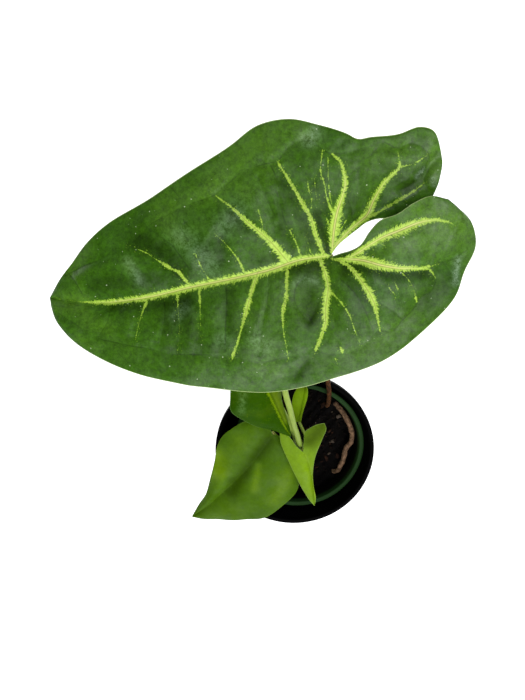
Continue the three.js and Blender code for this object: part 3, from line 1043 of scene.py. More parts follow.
@dataclass(frozen=True)
class StalkFinish:
    """A fleshy leaf stalk: smooth, pale yellow-green, streaked lengthwise, with a satin shine.

    Its foot is deeper green, and its top flushes brown below the blade. SPOT is the size of its dots in mm.
    """

    SPOT = 1.1111

    name: str
    pale: str = "94A83C"
    deep: str = "74902C"
    foot: str = "5C7426"
    flush: str = "8A6C44"

    def material(self) -> bpy.types.Material:
        """Makes the stalk's material.

        Returns:
            The material.
        """
        material, tree, skin = blank_material(self.name)
        place = add(tree, "TexCoord").outputs["Object"]
        spread, along = round_rod(tree, 0.06)
        streaks = add(tree, "TexNoise", (spread, 3.2, 3.0, 0.6))
        spots = add(tree, "TexNoise", (place, per_metre(self.SPOT), 2.0))
        streak = add(tree, "MapRange", (streaks, 0.35, 0.65))
        low = add(tree, "MapRange", (along, 0.45, 0.05, 0.0, 0.8))
        top = add(tree, "MapRange", (along, 0.955, 0.99, 0.0, 0.6))
        dot = add(tree, "MapRange", (spots, 0.62, 0.7, 0.0, 0.5))
        colour = linear(self.pale)
        for share, tint in ((streak, self.deep), (low, self.foot), (top, self.flush), (dot, self.deep)):
            colour = add(tree, "Mix", (share, colour, linear(tint)), data_type="RGBA")
        fill(tree, skin, {
            "Base Color": colour,
            "Roughness": 0.46,
            "Specular IOR Level": 0.35,
            "Normal": add(tree, "Bump", {"Strength": 0.25, "Distance": 0.3 * MM, "Height": streaks}),
        })
        return material


@dataclass(frozen=True)
class DryFibre:
    """Dead plant fibre, as on a corky aerial root or a dried stalk: matt, wrinkled lengthwise.

    SCURF is the size of its scales in mm.
    """

    SCURF = 2.0

    name: str
    light: str
    dark: str
    wrinkle: float = 0.6

    def material(self) -> bpy.types.Material:
        """Makes the fibre's material.

        Returns:
            The material.
        """
        material, tree, skin = blank_material(self.name)
        place = add(tree, "TexCoord").outputs["Object"]
        spread, _ = round_rod(tree, 0.12)
        wrinkles = add(tree, "TexNoise", (spread, 4.0, 4.0, 0.65))
        scurf = add(tree, "TexNoise", (place, per_metre(self.SCURF), 4.0))
        both = add(tree, "Math", (wrinkles, scurf), operation="MULTIPLY")
        level = add(tree, "MapRange", (both, 0.16, 0.36))
        fill(tree, skin, {
            "Base Color": add(tree, "Mix", (level, linear(self.dark), linear(self.light)), data_type="RGBA"),
            "Roughness": 0.85,
            "Specular IOR Level": 0.2,
            "Normal": add(tree, "Bump", {"Strength": self.wrinkle, "Distance": 0.5 * MM, "Height": both}),
        })
        return material


@dataclass(frozen=True)
class MouldedPlastic:
    """Injection-moulded polypropylene: satin, with a faint orange peel, dulled by dust and dried drips.

    peel and DRIP are the sizes of the orange peel and the drips in mm. dusty is the share that dust covers at
    most. Below the height painted_shade_below, in mm, it is painted near-black as painted shade.
    """

    DRIP = 11.11
    PAINTED_SHADE = "060503"

    name: str
    colour: str
    dust: str
    roughness: float
    shine: float
    dusty: float = 0.35
    peel: float = 0.9
    painted_shade_below: float = 0.0

    def material(self) -> bpy.types.Material:
        """Makes the plastic's material.

        Returns:
            The material.
        """
        material, tree, skin = blank_material(self.name)
        place = add(tree, "TexCoord").outputs["Object"]
        peel = add(tree, "TexNoise", (place, per_metre(self.peel), 2.0))
        drips_at = add(tree, "Mapping", {"Vector": place, "Scale": (1.0, 1.0, 0.18)})
        drips = add(tree, "TexNoise", (drips_at, per_metre(self.DRIP), 5.0, 0.62))
        film = add(tree, "MapRange", (drips, 0.5, 0.78, 0.0, self.dusty))
        height = add(tree, "SeparateXYZ", (place,)).outputs["Z"]
        # Painted shade: the wall is near-black below the given height.
        painted_shade = add(tree, "MapRange", (height, (self.painted_shade_below - 2) * MM, self.painted_shade_below * MM, 1.0, 0.0))
        colour = linear(self.colour)
        for share, tint in ((film, self.dust), (painted_shade, self.PAINTED_SHADE)):
            colour = add(tree, "Mix", (share, colour, linear(tint)), data_type="RGBA")
        fill(tree, skin, {
            "Base Color": colour,
            "Roughness": add(tree, "Math", (film, 0.6, self.roughness), operation="MULTIPLY_ADD"),
            "Specular IOR Level": self.shine,
            "Normal": add(tree, "Bump", {"Strength": 0.12, "Distance": 0.1 * MM, "Height": peel}),
        })
        return material


@dataclass(frozen=True)
class Earth:
    """Loose matter of a potting mix, such as damp peat, bark or perlite: matt, crumbly, uneven in colour.

    grain and CLOD are the sizes of its crumbs and clods in mm, and depth the strength of its bump.
    """

    CLOD = 6.25

    name: str
    light: str
    dark: str
    grain: float = 1.2
    depth: float = 0.8

    def material(self) -> bpy.types.Material:
        """Makes the material.

        Returns:
            The material.
        """
        material, tree, skin = blank_material(self.name)
        place = add(tree, "TexCoord").outputs["Object"]
        crumbs = add(tree, "TexNoise", (place, per_metre(self.grain), 5.0, 0.7))
        clods = add(tree, "TexNoise", (place, per_metre(self.CLOD), 3.0))
        both = add(tree, "Math", (crumbs, clods), operation="MULTIPLY")
        level = add(tree, "MapRange", (both, 0.17, 0.38))
        fill(tree, skin, {
            "Base Color": add(tree, "Mix", (level, linear(self.dark), linear(self.light)), data_type="RGBA"),
            "Roughness": 0.92,
            "Specular IOR Level": 0.1,
            "Normal": add(tree, "Bump", {"Strength": self.depth, "Distance": 0.8 * MM, "Height": crumbs}),
        })
        return material


Section = Callable[[np.ndarray, np.ndarray], np.ndarray]


@dataclass
class Rod:
    """A long thin piece along a smooth path, rounded at both ends. Lengths are in mm.

    radius gives the radius at a share of the length and an angle round the rod.
    """

    # How far the rounding of an end reaches, and its rings of points as shares of that.
    ROUNDING = 1.6
    END_RINGS = (0.0, 0.12, 0.4, 0.8)

    name: str
    slot: str
    finish: StalkFinish | DryFibre
    path: Sequence[Spot]
    radius: Section
    node: str
    steps: int = 60
    sides: int = 20

    def frames(self, line: np.ndarray) -> tuple[np.ndarray, np.ndarray]:
        """Carries two directions square to the path along it without twist.

        Args:
            line: The path's points.

        Returns:
            The two directions at each point.
        """
        tangents = np.gradient(line, axis=0)
        tangents /= np.linalg.norm(tangents, axis=1)[:, None]
        across = np.cross(tangents[0], (0.0, 1.0, 0.0))
        first, second = [], []
        for tangent in tangents:
            across = across - tangent * across.dot(tangent)
            across = across / np.linalg.norm(across)
            first.append(across)
            second.append(np.cross(tangent, across))
        return np.array(first), np.array(second)

    def build(self) -> bpy.types.Object:
        """Builds the rod from a grid rolled round its path.

        Returns:
            The rod's object.
        """
        curve = Spline(self.path)
        inner = np.linspace(0, 1, self.steps + 1)
        tip = self.ROUNDING / curve.length
        ends = np.array(self.END_RINGS) * tip
        shares = np.concatenate([ends, tip + (1 - 2 * tip) * inner, 1 - ends[::-1]])
        line = curve.at(shares)
        first, second = self.frames(line)
        rows = len(shares) - 1
        mesh = bmesh.new()
        run = mesh.verts.layers.float_vector.new("run")
        made = bmesh.ops.create_grid(mesh, x_segments=rows, y_segments=self.sides, size=0.5)["verts"]
        for vert in made:
            row = round((vert.co.x + 0.5) * rows)
            angle = 2 * math.pi * (round((vert.co.y + 0.5) * self.sides) % self.sides) / self.sides
            share = shares[row]
            from_end = min(share, 1 - share) / tip
            rounding = math.sqrt(max(0, 1 - (1 - min(from_end, 1)) ** 2))
            reach = float(self.radius(np.array(share), np.array(angle))) * rounding
            spot = line[row] + reach * (math.cos(angle) * first[row] + math.sin(angle) * second[row])
            vert.co = Vector(spot) * MM
            vert[run] = Vector((share * curve.length, share, angle))
        bmesh.ops.remove_doubles(mesh, verts=mesh.verts, dist=MERGE)
        bmesh.ops.dissolve_degenerate(mesh, edges=mesh.edges, dist=SLIVER)
        bmesh.ops.recalc_face_normals(mesh, faces=mesh.faces)
        return settle(self.name, mesh, self.finish.material(), self.slot, self.node)


# Points of a turned piece closer than SAME_SPOT, in mm, are joined.
SAME_SPOT = 1e-4
# The faces across each rounded corner of a profile.
CORNER_FACES = 4


def spun(profile: Sequence[Flat], centre: Flat, steps: int,
         rounded: Sequence[int] = (), rounding: float = 0.6) -> bmesh.types.BMesh:
    """Turns a profile round an upright axis.

    Args:
        profile: Radius and height of each point, in mm. It closes on itself, or starts and ends on the axis.
        centre: x and y of the axis, in mm.
        steps: Steps round.
        rounded: The points whose corners are rounded.
        rounding: How far the rounding reaches from such a corner, in mm.

    Returns:
        The closed mesh, in place and in metres.
    """
    mesh = bmesh.new()
    verts = [mesh.verts.new((radius, 0, height)) for radius, height in profile]
    loop = zip(verts, verts[1:] + verts[:1]) if profile[0][0] else zip(verts, verts[1:])
    for a, b in loop:
        mesh.edges.new((a, b))
    if rounded:
        corners = [verts[i] for i in rounded]
        bmesh.ops.bevel(mesh, geom=corners, offset=rounding, segments=CORNER_FACES, profile=0.5,
                        affect="VERTICES", material=-1)
    bmesh.ops.spin(mesh, geom=mesh.verts[:] + mesh.edges[:], cent=(0, 0, 0), axis=(0, 0, 1),
                   angle=2 * math.pi, steps=steps, use_merge=True)
    bmesh.ops.remove_doubles(mesh, verts=mesh.verts, dist=SAME_SPOT)
    bmesh.ops.scale(mesh, verts=mesh.verts, vec=(MM, MM, MM))
    bmesh.ops.translate(mesh, verts=mesh.verts, vec=(centre[0] * MM, centre[1] * MM, 0))
    bmesh.ops.recalc_face_normals(mesh, faces=mesh.faces)
    return mesh


@dataclass
class Pot:
    """A tapered round pot with a thickened lip, in mm.

    Its rim bows in and out of a true circle by sag.
    """

    # How far corners are rounded, and which points of the outline have them.
    ROUNDING = 0.8
    ROUNDED = (1, 4, 5, 6, 10)
    # How many times the rim bows out, and where, in radians.
    BOWS = 3
    BOW_TURN = 0.7

    name: str
    slot: str
    finish: MouldedPlastic
    rim_radius: float
    base_radius: float
    height: float
    wall: float
    floor: float
    lip_width: float
    lip_height: float
    stands_at: float = 0.0
    centre: Flat = (0.0, 0.0)
    sag: float = 0.0
    steps: int = 160

    def outside(self, height: float) -> float:
        """Radius of the wall's outside at a height above the pot's base."""
        top = self.rim_radius - self.lip_width + self.wall
        return self.base_radius + (top - self.base_radius) * height / self.height

    def build(self) -> bpy.types.Object:
        """Builds the pot by turning its wall, floor and lip.

        Returns:
            The pot's object.
        """
        lip_foot = self.height - self.lip_height
        lip_inside = self.rim_radius - self.lip_width
        inside_foot = lip_foot - self.wall
        shin = 0.5 * inside_foot
        outline = [
            (ON_AXIS, 0), (self.base_radius, 0), (self.outside(shin), shin),
            (self.outside(lip_foot), lip_foot), (self.rim_radius, lip_foot),
            (self.rim_radius, self.height), (lip_inside, self.height),
            (lip_inside, lip_foot + 0.2 * self.wall), (self.outside(inside_foot) - self.wall, inside_foot),
            (self.outside(shin) - self.wall, shin), (self.outside(self.floor) - self.wall, self.floor),
            (ON_AXIS, self.floor),
        ]
        profile = [(radius, self.stands_at + height) for radius, height in outline]
        mesh = spun(profile, self.centre, self.steps, self.ROUNDED, self.ROUNDING)
        for vert in mesh.verts:
            height = vert.co.z / MM - self.stands_at
            swing = self.sag * max(0, height / self.height) ** 3
            angle = math.atan2(vert.co.y, vert.co.x)
            push = swing * math.sin(self.BOWS * angle + self.BOW_TURN) * MM
            vert.co.x += push * math.cos(angle)
            vert.co.y += push * math.sin(angle)
        return settle(self.name + "_shell", mesh, self.finish.material(), self.slot, self.name)


@dataclass
class Soil:
    """Potting mix that fills the liner, its top heaped and crumbly, in mm.

    lump and crumb are the heights of its lumps and crumbs. It lies clear in from the liner's outside.
    """

    # How far its foot stands above the liner's floor, and lies in from its side.
    FOOT_GAP = 0.3
    FOOT_INSET = 1.0
    # Only points above this far below its top are heaped.
    TOP_BAND = 1.0
    # How fast its soft lumps follow each other along x and y, in radians a mm, and their shares of lump.
    WIDE_LUMPS = (0.45, 0.38)
    FINE_LUMPS = (0.9, 0.8)
    LUMP_SHARES = (0.7, 0.4)
    # The sizes of its crumbs and clods, the share of the clods, and what is taken off to keep the level.
    CRUMB_SIZE = 3.2
    CLOD_SIZE = 5.0
    CLOD_SHARE = 0.8
    LEVEL = 0.9
    # How the noise of the crumbs is built: how smooth it is, the step from size to size, and its sizes.
    ROUGHNESS = (0.7, 2.1, 4)

    finish: Earth
    liner: Pot
    below_rim: float = 12.0
    lump: float = 1.5
    crumb: float = 0.9
    rings: int = 46
    steps: int = 190
    clear: float = 1.5

    @property
    def top(self) -> float:
        """Height of the soil's top."""
        return self.liner.stands_at + self.liner.height - self.below_rim

    def radius(self, height: float) -> float:
        """Radius of the soil at a height."""
        return self.liner.outside(height - self.liner.stands_at) - self.clear

    def surface(self, x: float, y: float) -> float:
        """Works out the height of the soil's surface, without its crumbs.

        Args:
            x: x from the liner's axis.
            y: y from the liner's axis.

        Returns:
            The height.
        """
        wide = math.sin(x * self.WIDE_LUMPS[0] + 1) * math.cos(y * self.WIDE_LUMPS[1])
        fine = math.sin(x * self.FINE_LUMPS[0] - y * self.FINE_LUMPS[1])
        wide_share, fine_share = self.LUMP_SHARES
        return self.top + self.lump * (wide_share * wide + fine_share * fine - 1)

    def build(self) -> bpy.types.Object:
        """Builds the soil by turning its outline and heaping its top.

        Returns:
            The soil's object.
        """
        foot = self.liner.stands_at + self.liner.floor + self.FOOT_GAP
        wide = self.radius(self.top)
        rings = [(wide * (1 - i / self.rings) + ON_AXIS, self.top) for i in range(self.rings + 1)]
        base = [(ON_AXIS, foot), (self.radius(foot) - self.FOOT_INSET, foot)]
        mesh = spun([*base, *rings], (0.0, 0.0), self.steps)
        for vert in mesh.verts:
            if vert.co.z < (self.top - self.TOP_BAND) * MM:
                continue
            x, y = vert.co.x / MM, vert.co.y / MM
            rough = noise.fractal(Vector((x / self.CRUMB_SIZE, y / self.CRUMB_SIZE, 3.0)), *self.ROUGHNESS)
            clods = 1 - abs(noise.noise(Vector((x / self.CLOD_SIZE, y / self.CLOD_SIZE, 8.0))))
            crumbly = self.crumb * (rough + self.CLOD_SHARE * clods - self.LEVEL)
            vert.co.z = (self.surface(x, y) + crumbly) * MM
        centre_x, centre_y = self.liner.centre
        bmesh.ops.translate(mesh, verts=mesh.verts, vec=(centre_x * MM, centre_y * MM, 0))
        return settle("soil_bed", mesh, self.finish.material(), "soil", "soil")


@dataclass
class Crumbs:
    """Loose bits that lie in the top of the soil, one piece for each kind of matter, in mm.

    count bits of sizes are strewn, up to long times as long as wide, besides those at places, each x, y and
    size. keep_off gives x, y and radius of what stays free.
    """

    # How far strewn bits keep from the liner.
    EDGE_GAP = 2.0
    # Bits of this size and above get more faces.
    FINE_FROM = 2.0
    # How high a bit's middle lies above the soil, and how high it is, as shares of its size.
    RAISED = 0.1
    FLATNESS = 0.7
    # How far a bit's points are pushed out of true, and how many bumps it has across.
    PUSH = 0.3
    BUMPS = 2.3

    name: str
    finish: Earth
    soil: Soil
    count: int
    sizes: tuple[float, float]
    long: float = 1.0
    places: tuple[Spot, ...] = ()
    keep_off: tuple[Spot, ...] = ((6.0, -7.0, 7.5), (22.5, 26.0, 3.0))

    def clear(self, x: float, y: float) -> bool:
        """Tells if a place is free of the stem and the dry stalk."""
        return all(math.hypot(x - a, y - b) > radius for a, b, radius in self.keep_off)

    def build(self) -> bpy.types.Object:
        """Builds every bit from a small ball pushed out of true, sunk nearly half into the soil.

        Returns:
            The bits' object.
        """
        draw = random.Random(SEED + len(self.name))
        centre = self.soil.liner.centre
        room = self.soil.radius(self.soil.top) - self.EDGE_GAP
        bits = list(self.places)
        while len(bits) < self.count + len(self.places):
            angle = draw.uniform(0, 2 * math.pi)
            reach = room * math.sqrt(draw.random())
            x, y = centre[0] + reach * math.cos(angle), centre[1] + reach * math.sin(angle)
            if self.clear(x, y):
                bits.append((x, y, draw.uniform(*self.sizes) * draw.uniform(0.6, 1.0)))
        mesh = bmesh.new()
        for x, y, size in bits:
            height = self.soil.surface(x - centre[0], y - centre[1]) + self.RAISED * size
            detail = 1 if size < self.FINE_FROM else 2
            made = bmesh.ops.create_icosphere(mesh, subdivisions=detail, radius=0.5)["verts"]
            length = size * draw.uniform(1, self.long)
            stretch = Vector((length, size * draw.uniform(0.6, 1), size * self.FLATNESS))
            turn = draw.uniform(0, math.pi)
            for vert in made:
                off = noise.noise_vector(vert.co * self.BUMPS + Vector((x, y, 0))) * self.PUSH
                spot = (vert.co + off) * stretch
                flat_x = spot.x * math.cos(turn) - spot.y * math.sin(turn)
                flat_y = spot.x * math.sin(turn) + spot.y * math.cos(turn)
                vert.co = Vector((x + flat_x, y + flat_y, height + spot.z)) * MM
        bmesh.ops.recalc_face_normals(mesh, faces=mesh.faces)
        return settle(self.name, mesh, self.finish.material(), "soil")


@dataclass
class Stem:
    """The short crown that carries the stalks, ringed by old leaf scars, in mm."""

    # The radius of the foot, and how far above it the crown has its full radius.
    FOOT_RADIUS = 4.0
    FOOT_TAPER = 14
    # How far the top's edge is cut off, all round.
    BEVEL = 0.8
    # How far the skin is pushed in and out, how fast that varies round it, and over what length up it.
    FOLD = 0.25
    FOLDS = 2
    FOLD_LENGTH = 5

    finish: DryFibre
    centre: Flat = (6.0, -7.0)
    radius: float = 6.2
    neck: float = 5.6
    foot: float = 44.0
    top: float = 75.7
    scars: tuple[float, ...] = (61.0, 65.5, 69.5, 73.0)
    steps: int = 48

    def build(self) -> bpy.types.Object:
        """Builds the crown by turning its ringed outline.

        Returns:
            The crown's object.
        """
        full_at = self.foot + self.FOOT_TAPER
        profile = [(ON_AXIS, self.foot), (self.FOOT_RADIUS, self.foot), (self.radius, full_at)]
        for scar in self.scars:
            for out, up in ((-0.2, -0.9), (0.25, 0.0), (-0.4, 0.5)):
                profile.append((self.radius + out, scar + up))
        shoulder = self.top - self.BEVEL
        profile += [(self.neck, shoulder), (self.neck - self.BEVEL, self.top), (ON_AXIS, self.top)]
        mesh = spun(profile, self.centre, self.steps)
        run = mesh.verts.layers.float_vector.new("run")
        for vert in mesh.verts:
            away = vert.co - Vector((self.centre[0] * MM, self.centre[1] * MM, 0))
            angle = math.atan2(away.y, away.x)
            out = Vector((math.cos(angle), math.sin(angle), 0))
            folds = Vector((out.x * self.FOLDS, out.y * self.FOLDS, vert.co.z / MM / self.FOLD_LENGTH))
            vert.co += out * (self.FOLD * noise.noise(folds)) * MM
            vert[run] = Vector((vert.co.z / MM, 0.5, angle))
        return settle("stem_crown", mesh, self.finish.material(), "stem_skin", "stem")


class Light(Enum):
    """The studio's lamps."""

    WINDOW = "window"
    CEILING = "ceiling"
    WALL = "wall"


@dataclass(frozen=True)
class Lamp:
    """A square soft lamp: where it stands and what it faces, in metres, its side and its power in watts."""

    kind: Light
    place: Spot
    faces: Spot
    side: float
    power: float
    colour: str = "FFFFFF"

    def build(self) -> None:
        """Hangs the lamp."""
        data = bpy.data.lights.new(self.kind.value, "AREA")
        data.shape = "SQUARE"
        data.size = self.side
        data.energy = self.power
        data.color = linear(self.colour)[:3]
        lamp = bpy.data.objects.new(self.kind.value, data)
        lamp.location = self.place
        lamp.rotation_euler = (Vector(self.faces) - Vector(self.place)).to_track_quat("-Z", "Y").to_euler()
        bpy.context.scene.collection.objects.link(lamp)


@dataclass
class Studio:
    """The pale, faintly backlit floor, the soft light and the camera at the photograph's place.

    The camera is turned from straight down by camera_tilt, in degrees. Its focal length is in the pixels of a
    frame that is frame_height high. Places and the floor's side are in metres, the sensor in mm.
    """

    # The size of the floor's soft clouds, in mm.
    CLOUD = 333.33

    camera_place: Spot = (-0.0203, 0.1324, 0.3961)
    camera_tilt: float = -12.2
    focal_pixels: float = 526.0
    frame_height: float = 700.0
    sensor: float = 36.0
    floor_side: float = 6.0
    floor_colour: str = "F4F4F2"
    sky_colour: str = "F3F6FA"
    floor_glow: float = 0.6
    sky: float = 0.42
    lamps: tuple[Lamp, ...] = (
        Lamp(Light.WINDOW, (0.1, -0.95, 1.05), (0.0, 0.1, 0.15), 1.3, 15.5),
        Lamp(Light.CEILING, (0.32, 0.15, 1.3), (0.0, 0.1, 0.15), 0.85, 5.6),
        Lamp(Light.WALL, (1.2, 0.3, 0.6), (0.0, 0.05, 0.1), 0.8, 1.5),
    )

    def build(self) -> None:
        """Makes the camera, the floor, the sky and the lamps."""
        scene = bpy.context.scene
        scene.view_settings.view_transform = "Standard"
        data = bpy.data.cameras.new("camera")
        data.sensor_width = self.sensor
        data.lens = self.focal_pixels / self.frame_height * self.sensor
        camera = bpy.data.objects.new("camera", data)
        camera.location = self.camera_place
        camera.rotation_euler = (math.radians(self.camera_tilt), 0, 0)
        scene.collection.objects.link(camera)
        scene.camera = camera
        mesh = bmesh.new()
        bmesh.ops.create_grid(mesh, x_segments=1, y_segments=1, size=self.floor_side / 2)
        floor_data = bpy.data.meshes.new("floor")
        mesh.to_mesh(floor_data)
        mesh.free()
        # A sheet of white acrylic lit from behind: matt, faintly clouded, with a glow of its own.
        material, tree, skin = blank_material("backlit_acrylic")
        white = linear("FFFFFF")
        place = add(tree, "TexCoord").outputs["Object"]
        clouds = add(tree, "TexNoise", (place, per_metre(self.CLOUD)))
        fill(tree, skin, {
            "Base Color": add(tree, "Mix", (clouds, linear(self.floor_colour), white), data_type="RGBA"),
            "Roughness": 0.95,
            "Emission Color": white,
            "Emission Strength": self.floor_glow,
        })
        floor_data.materials.append(material)
        floor = bpy.data.objects.new("floor", floor_data)
        scene.collection.objects.link(floor)
        world = scene.world or bpy.data.worlds.new("sky")
        scene.world = world
        world.use_nodes = True
        sky = world.node_tree.nodes["Background"]
        sky.inputs["Color"].default_value = linear(self.sky_colour)
        sky.inputs["Strength"].default_value = self.sky
        for lamp in self.lamps:
            lamp.build()


MAIN, LATERAL, FINE, CREASE = VeinKind


def big_leaf() -> Blade:
    """The large leaf, painted yellow-green along its veins.

    Returns:
        The blade, ready to build.
    """
    front = Half(
        shoulder=0.55, crown=4,
        sinus=((3.5, 1.5, 1.5), (8, 3, 3), (11, 5, 4.5), (14, 10, 6), (17.5, 14, 7), (24, 16.5, 7),
               (30, 20.5, 6.5), (36.5, 23, 5.5), (43.5, 22, 4)),
        margin=((-114.5, -26, -13), (-107.5, -35, -12), (-96.5, -42, -10), (-79.5, -48.5, -8),
                (-62, -52.5, -6), (-45, -55, -4.5), (-25, -56.5, -3), (-11, -54, -2), (5.5, -48.5, -1.5),
                (22, -42, -1.5), (38, -29.5, -2), (49.5, -17, -2), (53.5, -5.5, -1), (57, 4.5, 0),
                (54, 13.5, 2), (48.5, 18.5, 3)),
        veins=(
            Vein(MAIN, ((1.5, -0.5, 0.2), (5, -0.3, 0.6), (9.5, 1.4, 1.4), (14.5, 5, 1.5), (19.5, 8, 1.7),
                (25.5, 10.4, 2.1), (29, 11.9, 1.9), (33.5, 13.5, 1.5), (39, 14.2, 0.9), (42.8, 13.8, 0.6),
                (46.5, 12.5, 0.0))),
            Vein(MAIN, ((1.5, -0.5, 0.2), (7.5, -0.5, 1.5), (13, -1.1, 2.1), (18.5, -2.6, 2.2),
                (22, -3.3, 1.9), (27, -4, 1.5), (31, -4, 1.2), (37.5, -4, 0.7))),
            Vein(LATERAL, ((0.5, -0.5, 0.3), (4.9, -1.7, 0.8), (9.6, -5.8, 1.2), (12.8, -10, 1.4),
                (16.3, -15.5, 1.5), (17.8, -18.7, 1.3), (18.8, -22.5, 0.6), (20.5, -29, 0.3))),
            Vein(LATERAL, ((-3.8, -0.5, 0.9), (-1.8, -6.5, 1.3), (-0.6, -11.5, 1.4), (-1.0, -15.5, 1.9),
                (-1.6, -20.5, 1.5), (-1.5, -25.5, 1.4), (-2.7, -30, 1.0), (-5, -37, 0.8))),
            Vein(LATERAL, ((-16.8, -3, 0.7), (-17.1, -9, 0.8), (-17.2, -13.5, 1.0), (-17.6, -17, 1.15),
                (-18.5, -21, 0.9), (-18.6, -24.5, 0.5), (-18.2, -29.5, 0.25), (-17.2, -35, 0.15),
                (-16, -41, 0.1))),
            Vein(LATERAL, ((-28.4, -5.5, 1.3), (-30.5, -11.5, 0.9), (-33.2, -21, 1.2), (-35.3, -28.5, 0.5),
                (-37.3, -35.5, 0.5), (-38.3, -38, 0.9), (-39.2, -41.5, 0.3))),
            Vein(LATERAL, ((-52.2, -13, 0.75), (-51.8, -18, 0.5), (-51.8, -21.5, 0.2),
                (-51.8, -33.5, -0.25))),
            Vein(LATERAL, ((-61.3, -15, 0.9), (-61, -20, 0.2), (-60.5, -29, 0.0), (-61.5, -38.5, -0.05))),
            Vein(LATERAL, ((-74.5, -18.5, 0.8), (-76.5, -23.5, 0.3), (-79.5, -34, 0.05))),
            Vein(FINE, ((37, -3.5, 0.8), (39, -5, 0.5), (41.5, -8, 0.3))),
            Vein(FINE, ((36.5, -3.5, 0.8), (39.5, -3, 0.5), (41.5, -2, 0.3))),
            Vein(FINE, ((26.5, -4.8, 0.3), (30.7, -8.8, 0.35), (32.5, -12.2, 0.35), (33.6, -14.8, 0.5),
                (34.2, -16.4, 0.9), (34.4, -17.4, 0.5))),
            Vein(FINE, ((0.5, -13.5, 0.5), (4, -17, 0.5), (7.5, -22, 0.4), (10, -28, 0.3),
                (13, -34.5, 0.1))),
            Vein(FINE, ((16.5, 6.5, 0.4), (20.5, 4.5, 0.3))),
            Vein(FINE, ((20.3, -9, 0.15), (23.3, -12.2, 0.35), (26, -15.5, 0.15))),
            Vein(FINE, ((25, -9.8, 0.3), (26, -12, 0.5), (26.8, -13.5, 0.1))),
            Vein(FINE, ((4.9, -35.8, 0.65), (5.4, -37, 0.95), (5.9, -38.2, 0.6))),
            Vein(FINE, ((3, -40.5, 0.35), (4, -43, 0.4))),
            crease((-113, -23), (-105.5, -27.5), (-98.5, -32.5), (-84, -36), (-73.5, -37.5), (-66, -39.5),
                (-52.5, -39.5), (-39.5, -40), (-28, -42.5), (-15.5, -39.5), (-6.5, -37.5), (1, -39),
                (7, -38.5), (13.5, -35), (20.5, -29), (25.5, -29.5), (29.5, -24.5), (34, -19.5), (36, -15),
                (40, -13.5), (42, -8)),
            crease((-41.5, -10), (-41, -17.5), (-41.5, -26.5), (-42, -37.5)),
            crease((-67, -15), (-66.5, -24), (-69, -35.5)),
            crease((-90, -18.5), (-91, -26), (-95, -32.5)),
            crease((-24, -5), (-24.5, -14.5), (-27, -26.5), (-28.5, -39)),
            crease((3.5, -8), (8.5, -12.5), (12.5, -18), (16, -25), (18.5, -30.5)),
            crease((0, -19.5), (2.5, -27), (6, -35)),
            crease((17, -16), (23.5, -20), (29.5, -24.5)),
            crease((41, -2), (46.5, -1), (52, 2)),
            crease((-10, -7), (-13.5, -11.5), (-14, -16.5), (-11.5, -21.5), (-8, -25), (-5, -19.5),
                (-3, -13)),
            crease((-7.5, -40.5), (-11.5, -45), (-13.5, -50.5)),
        ),
        swells=(
            Swell(4.5, -1.6, ((-9, -16), (-7.5, -21))),
            Swell(9.0, 3.6, ((-112, -27), (-97, -43), (-80, -50), (-60, -54))),
            Swell(8.0, 3.0, ((12, -49), (36, -34), (52, -16))), Swell(2.6, -1.3, ((15, 2.5), (19, 3.5))),
            Swell(3.0, 0.8, ((-56.5, -22), (-56.5, -34))), Swell(4.0, 0.9, ((-47, -20), (-47, -36))),
            Swell(2.5, 0.8, ((-82, -18), (-83, -30))), Swell(4.0, 0.7, ((-31, -32),)),
            Swell(3.5, -0.9, ((-101, -27), (-112, -22))), Swell(3.0, -0.9, ((22, -6.5), (38, -7.5))),
            Swell(2.5, -0.4, ((-15, -48), (-10, -42))),
        ),
        # Painted light and shade on the flesh.
        painted_shading_patches=(
            Swell(2.5, -0.4, ((-90, -21), (-68, -19), (-57, -16))),
            Swell(4.0, -0.35, ((-65, -22), (-65, -28))), Swell(3.0, -0.35, ((-56, -18), (-56, -29))),
            Swell(3.0, -0.35, ((-40, -14), (-40, -25), (-37, -31))), Swell(3.0, -0.6, ((-16, -4), (-3, -3))),
            Swell(4.0, -0.35, ((-8, -13), (-7, -24))),
            Swell(1.5, -0.36, ((-4.5, -20.5), (-6.5, -24), (-8.5, -27))),
            Swell(2.5, -0.62, ((6, -3.5), (15, -5), (26, -7), (38, -6))),
            Swell(2.0, -0.55, ((4, 0), (7.5, 0.8), (12.5, 4))), Swell(2.5, -0.35, ((6, -7), (15, -16))),
            Swell(4.0, -0.3, ((38, -17), (46, -9))), Swell(3.0, -0.35, ((-12, -49), (-8, -43))),
            Swell(3.0, -0.2, ((-50, -37), (-42, -37))), Swell(5.0, 0.5, ((-112, -19), (-103, -19))),
            Swell(4.0, 0.3, ((-100, -27), (-91, -29))), Swell(8.0, 0.4, ((24, 3), (37, 8), (47, 7))),
            Swell(2.5, -0.25, ((25, -0.5), (33, 1.5))), Swell(6.0, 0.35, ((32, 20), (46, 16))),
            Swell(5.0, 0.25, ((9, -41), (29, -29))), Swell(4.0, 0.25, ((-28, -44), (-19, -47))),
            Swell(4.0, 0.3, ((-27, -35),)), Swell(3.0, 0.25, ((32, -12),)), Swell(3.0, -0.25, ((-35, -39),)),
            Swell(3.0, -0.25, ((-60, -20), (-60, -25))), Swell(4.0, -0.22, ((-54, -35), (-63, -38))),
            Swell(4.0, -0.2, ((8, -22), (10.5, -31))), Swell(2.5, -0.3, ((-27.8, -40.4),)),
            Swell(3.0, 0.3, ((-104, -34), (-97, -38))),
        ),
        bloom=(
            Swell(1.6, 0.5, ((49.9, -0.5), (49.6, -5.5), (50, -9.5))),
            Swell(3.5, 0.2, ((-29, -33), (-26, -36))), Swell(3.0, 0.18, ((-43, -33),)),
            Swell(2.5, 0.15, ((-62, -24), (-58, -20))),
            Swell(1.5, 0.2, ((-13.5, -10), (-9, -7.8), (-5, -9.5))),
        ),
    )
